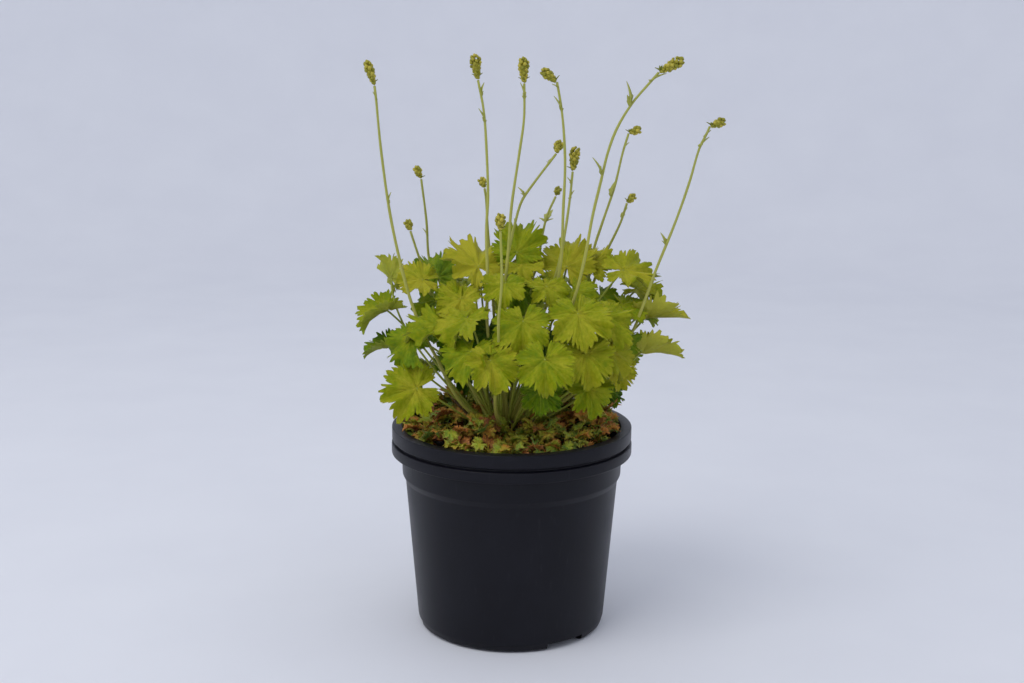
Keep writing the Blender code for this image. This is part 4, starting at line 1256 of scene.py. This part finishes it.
def build_leaves(name, group, outward, number, blade_finish, stalk_finish):
    """A group of leaves that share one seat on the crown, on their hairy petioles"""
    chance = random.Random(100 + number)
    form = Form("vein", "tone", "rim", "under", "along")
    for blade in group + INNER_LEAVES.get(name, []):
        add_blade(form, blade, HALF_LOBE, 1, LEAF_RINGS, LEAF_THICKNESS, chance)
        path = petiole_path(blade, outward, PETIOLE_POINTS)
        along = np.linspace(0, 1, len(path))
        radii = PETIOLE_RADIUS * (1.15 - 0.45 * along ** 0.5 + 0.1 * along)
        add_tube(form, path, radii, PETIOLE_SIDES, 1, along=along)
        add_hairs(form, path, radii, PETIOLE_HAIR_GAP, chance, 1, along=along)
    dress(form.make(name + "_fine", [blade_finish, stalk_finish]), name)


def even_path(points, count):
    """A smooth curve through points, as evenly spaced points"""
    fine = smooth_through([tuple(point) for point in points], 12)
    lengths = np.concatenate([[0], np.cumsum(np.linalg.norm(np.diff(fine, axis=0), axis=1))])
    goals = np.linspace(0, lengths[-1], count)
    return np.stack([np.interp(goals, lengths, fine[:, axis]) for axis in range(3)], 1)


def stem_path(flower, outward, count):
    """A flower stem's path from its seat on the crown to the foot of its head"""
    seat = seat_point(outward)
    return even_path([seat, seat + outward * STRAIGHT_FOOT] + flower.route, count)


def add_bract(form, place, heading, pitch, length, width, **values):
    """Add a pointed bract with a tooth on each side, folded along its middle"""
    tip, side, normal = (np.array(axis) for axis in frame_axes(heading, pitch))
    widths = BRACT_WIDTHS * width * length / 2
    across = np.linspace(-1, 1, 5)
    rows = [place + tip * share * length + side * wide * step
            + normal * (abs(step) * wide * 0.5 + 0.05 * length * math.sin(share * math.pi))
            for share, wide in zip(BRACT_PLACES, widths) for step in across]
    index = np.arange(len(rows)).reshape(len(widths), len(across))
    index[0], index[-1] = index[0, 0], index[-1, 0]
    used, index = np.unique(index, return_inverse=True)
    blocks = grid_faces(index.reshape(len(widths), len(across)))
    form.add_slab(np.array(rows)[used], blocks, BRACT_THICKNESS, **values)


def build_stem(number, flower, outward, finish):
    """A flower stem with its hairs and bracts"""
    chance = random.Random(200 + number)
    path = stem_path(flower, outward, STEM_POINTS)
    along = np.linspace(0, 1, len(path))
    radii = STEM_FOOT_RADIUS + (STEM_TIP_RADIUS - STEM_FOOT_RADIUS) * along
    form = Form("along", "under")
    add_tube(form, path, radii * (1 + 0.05 * np.sin(along * 40)), STEM_SIDES, along=along)
    add_hairs(form, path, radii, STEM_HAIR_GAP, chance, along=along)
    for leaflet in flower.bracts:
        spot = leaflet.place * (len(path) - 1)
        place = path[int(spot)] * (1 - spot % 1) + path[int(spot) + 1] * (spot % 1)
        for swing, drop, share, width in BRACT_LOBES:
            heading, pitch = leaflet.heading + swing, leaflet.pitch - drop
            add_bract(form, place, heading, pitch, leaflet.length * share, width, along=1)
    name = f"flower_stem_{number:02d}"
    dress(form.make(name + "_fine", [finish]), name)


def bud_shape():
    """Points and faces of a ribbed bud, in its radii"""
    points, blocks = turned(BUD_PROFILE, BUD_SIDES)
    ribs = 1 + BUD_RIB_DEPTH * np.cos(BUD_RIBS * np.arctan2(points[:, 1], points[:, 0]))
    return points * np.stack([ribs, ribs, np.ones(len(points))], 1), blocks


def build_head(number, flower, finish):
    """A dense head of separate buds in a spiral round a core, with small bracts at its foot"""
    chance = random.Random(300 + number)
    buds = flower.head
    centre = flower.route[-1] + buds.lean * (buds.length / 2 + HEAD_GAP + STEM_TIP_RADIUS / 2)
    turn = np.array(buds.lean.to_track_quat("Z", "Y").to_matrix())
    form = Form("tone", "under")
    turns = [math.pi * step / CORE_STEPS for step in range(CORE_STEPS + 1)]
    core, core_blocks = turned([(math.sin(angle), math.cos(angle)) for angle in turns], CORE_SIDES)
    half = np.array([buds.width / 2, buds.width / 2, buds.length / 2])
    form.add((core * half * HEAD_CORE) @ turn.T + np.array(centre), core_blocks, tone=0.35)
    bud, bud_blocks = bud_shape()
    count = round(BUD_CROWDING * buds.length * buds.width / BUD_RADIUS ** 2)
    for spot in range(count):
        high = 1 - 2 * (spot + 0.5) / count
        level = math.sqrt(1 - high * high) * (HEAD_GIRTH + HEAD_FLARE * high) * chance.uniform(0.85, 1.1)
        angle = spot * GOLDEN_ANGLE
        out = np.array([level * math.cos(angle), level * math.sin(angle), high])
        size = BUD_RADIUS * chance.uniform(*BUD_SIZES)
        place = out * (half - size * 0.75)
        facing = Vector(out * half[::-1] + np.array([0, 0, half[2] * 0.9]))
        aim = np.array(facing.to_track_quat("Z", "Y").to_matrix())
        shape = (bud * size) @ aim.T + place
        form.add(shape @ turn.T + np.array(centre), bud_blocks, tone=chance.uniform(*BUD_TONES))
    foot = np.array(centre - buds.lean * buds.length * 0.46)
    for step in range(HEAD_BRACTS):
        heading = step * 360 / HEAD_BRACTS + chance.uniform(-20, 20)
        add_bract(form, foot, heading, chance.uniform(25, 60), buds.width * 0.55, 0.45, tone=0.05)
    name = f"bud_head_{number:02d}"
    dress(form.make(name + "_fine", [finish]), name)


def small_leaf(centre, heading, radius, spot, dryness, chance):
    """A small old leaf, by its number in a spiral round its rosette's centre, kept inside the pot"""
    toward = heading + spot * ROSETTE_TURN_DEG + chance.uniform(*SMALL_SWINGS)
    size = chance.uniform(*SMALL_SIZES) * MM
    out = radius * ROSETTE_FILL * math.sqrt((spot + 0.5) / ROSETTE_LEAVES)
    hub = centre + around(out, math.radians(toward), chance.uniform(*SMALL_RISES) * MM)
    beyond = math.hypot(hub.x, hub.y) / MAT_REACH
    if beyond > 1:
        hub.x /= beyond
        hub.y /= beyond
    dry = chance.random() < dryness
    tone = chance.uniform(*(DRY_TONES if dry else FRESH_TONES))
    pitch, roll = chance.uniform(*SMALL_PITCHES), chance.uniform(*SMALL_ROLLS)
    bend, cup = chance.uniform(*SMALL_BENDS), chance.uniform(*SMALL_CUPS)
    return Leaf(hub, toward, pitch, roll, size, bend, cup, tone)


def add_old_leaf(form, blade, samples, stalk, radius, sides, tone, chance):
    """Add an old leaf and its stalk, which runs through three places"""
    add_blade(form, blade, HALF_SMALL_LOBE, samples, SMALL_RINGS, SMALL_LEAF_THICKNESS, chance)
    add_tube(form, even_path(stalk, sides), radius, sides, tone=tone, vein=NO_VEIN)


def build_shoot(number, finish):
    """A basal shoot: brown branches and rosettes of small old leaves"""
    chance = random.Random(40 + number)
    middle = math.radians(SHOOT_FIRST_DEG + number * 360 / SHOOTS)
    shoot_dry = RUSSET_DRY if number in RUSSET_SHOOTS else GREEN_DRY
    swell = SHOOT_SWELL * math.cos(middle) ** 2
    foot = around(SHOOT_FOOT_RADIUS, middle, SHOOT_FOOT)
    fork = around(SHOOT_FOOT_RADIUS, middle, SOIL_LEVEL + 4 * MM)
    form = Form("vein", "tone", "rim", "under", "along")
    for distance, swing, height, radius in ROSETTES:
        heading = math.degrees(middle) + swing
        rise = swell + BACK_RISE * max(0, math.sin(math.radians(heading)))
        centre = around(distance * MM, math.radians(heading), SOIL_LEVEL + height * MM + rise)
        arch = fork.lerp(centre, 0.5) + Vector((0, 0, 2 * MM))
        path = even_path([foot, fork, arch, centre], SHOOT_POINTS)
        radii = np.linspace(1.2, 0.7, SHOOT_POINTS) * SHOOT_RADIUS
        add_tube(form, path, radii, TWIG_SIDES, tone=0.85, vein=NO_VEIN)
        dryness = shoot_dry + SIDES_DRY * math.cos(math.radians(heading)) ** 2
        for spot in range(ROSETTE_LEAVES):
            small = small_leaf(centre, heading, radius * MM, spot, dryness, chance)
            stalk = [centre, centre.lerp(small.hub, 0.6) + Vector((0, 0, 0.6 * MM)), small.hub]
            add_old_leaf(form, small, 1, stalk, SMALL_STALK_RADIUS, 4, 0.6, chance)
    for tall in TALL_OLD_LEAVES.get(number, []):
        below = Vector((tall.hub.x * 0.8, tall.hub.y * 0.8, SOIL_LEVEL + 6 * MM))
        stalk = [below, below.lerp(tall.hub, 0.6), tall.hub]
        add_old_leaf(form, tall, 2, stalk, TALL_STALK_RADIUS, 5, 0.8, chance)
    name = f"basal_shoot_{number + 1}"
    dress(form.make(name + "_fine", [finish]), name)


def build_plant():
    """Every piece of the plant and its pot"""
    build_pot(black_plastic())
    build_soil(potting_soil())
    build_crown(old_wood())
    seats = crown_seats()
    blade_finish = young_leaf()
    petiole = stalk_skin("petiole skin", (0.27, 0.30, 0.02), (0.27, 0.32, 0.02))
    for number, (name, group) in enumerate(LEAF_GROUPS.items()):
        build_leaves(name, group, seats[name], number, blade_finish, petiole)
    stalk = stalk_skin("flower stem skin", (0.42, 0.39, 0.06), (0.34, 0.35, 0.06))
    buds = bud_skin()
    for number, flower in enumerate(FLOWER_STEMS, 1):
        build_stem(number, flower, seats[number], stalk)
        build_head(number, flower, buds)
    old_leaves = {
        "old_leaf_green": old_leaf("old leaf green", (0.13, 0.15, 0.03)),
        "old_leaf_russet": old_leaf("old leaf russet", (0.26, 0.10, 0.03)),
    }
    for number in range(SHOOTS):
        slot = "old_leaf_russet" if number in RUSSET_SHOOTS else "old_leaf_green"
        build_shoot(number, old_leaves[slot])


def place_camera():
    """The camera at the photograph's place"""
    down, roll = math.radians(CAMERA_DOWN_DEG), math.radians(CAMERA_ROLL_DEG)
    ahead = Vector((0, math.cos(down), -math.sin(down)))
    up = Vector((0, math.sin(down), math.cos(down)))
    right = Vector((1, 0, 0))
    turned_right = math.cos(roll) * right + math.sin(roll) * up
    turned_up = math.cos(roll) * up - math.sin(roll) * right
    view = stand("camera", bpy.data.cameras.new("camera"))
    view.data.sensor_width = 36
    view.data.lens = LENS
    turn = Matrix((turned_right, turned_up, -ahead)).transposed().to_4x4()
    view.matrix_world = Matrix.Translation(CAMERA_PLACE) @ turn
    bpy.context.scene.camera = view


def build_key():
    """The key light: square, soft, aimed at the plant from the front left"""
    lamp = bpy.data.lights.new("key", "AREA")
    lamp.shape = "SQUARE"
    lamp.size = KEY_SIZE
    lamp.energy = KEY_POWER
    lamp.color = (1.0, 0.99, 0.97)
    key = stand("key", lamp)
    key.location = KEY_PLACE
    key.rotation_euler = (KEY_AIM - KEY_PLACE).to_track_quat("-Z", "Y").to_euler()


def build_floor():
    """A plain pale floor that sweeps up all round"""
    rows = [(0, 0), (SWEEP_FLOOR, 0)]
    for step in range(1, SWEEP_STEPS + 1):
        turn = step / SWEEP_STEPS * math.pi / 2
        rows.append((SWEEP_FLOOR + SWEEP_CURVE * math.sin(turn), SWEEP_CURVE * (1 - math.cos(turn))))
    rows.append((SWEEP_FLOOR + SWEEP_CURVE, SWEEP_TOP))
    spokes = np.arange(SWEEP_SIDES)
    points = [tuple(around(radius, angle, height))
              for radius, height in rows[1:] for angle in spokes * 2 * math.pi / SWEEP_SIDES]
    index = np.arange(len(rows) - 1)[:, None] * SWEEP_SIDES + np.arange(SWEEP_SIDES + 1) % SWEEP_SIDES
    form = Form()
    form.add(np.array(points), [*grid_faces(index), spokes[None]])
    floor = form.make("floor", [pale_floor()])


def light_studio():
    """Soft light from all of the sky, and the key light"""
    world = bpy.data.worlds.new("soft daylight")
    world.use_nodes = True
    sky = world.node_tree.nodes["Background"].inputs
    sky["Color"].default_value = (0.86, 0.90, 1.0, 1)
    sky["Strength"].default_value = SKY_STRENGTH
    bpy.context.scene.world = world
    bpy.context.scene.view_settings.view_transform = "Standard"
    build_key()


place_camera()
build_floor()
light_studio()
build_plant()
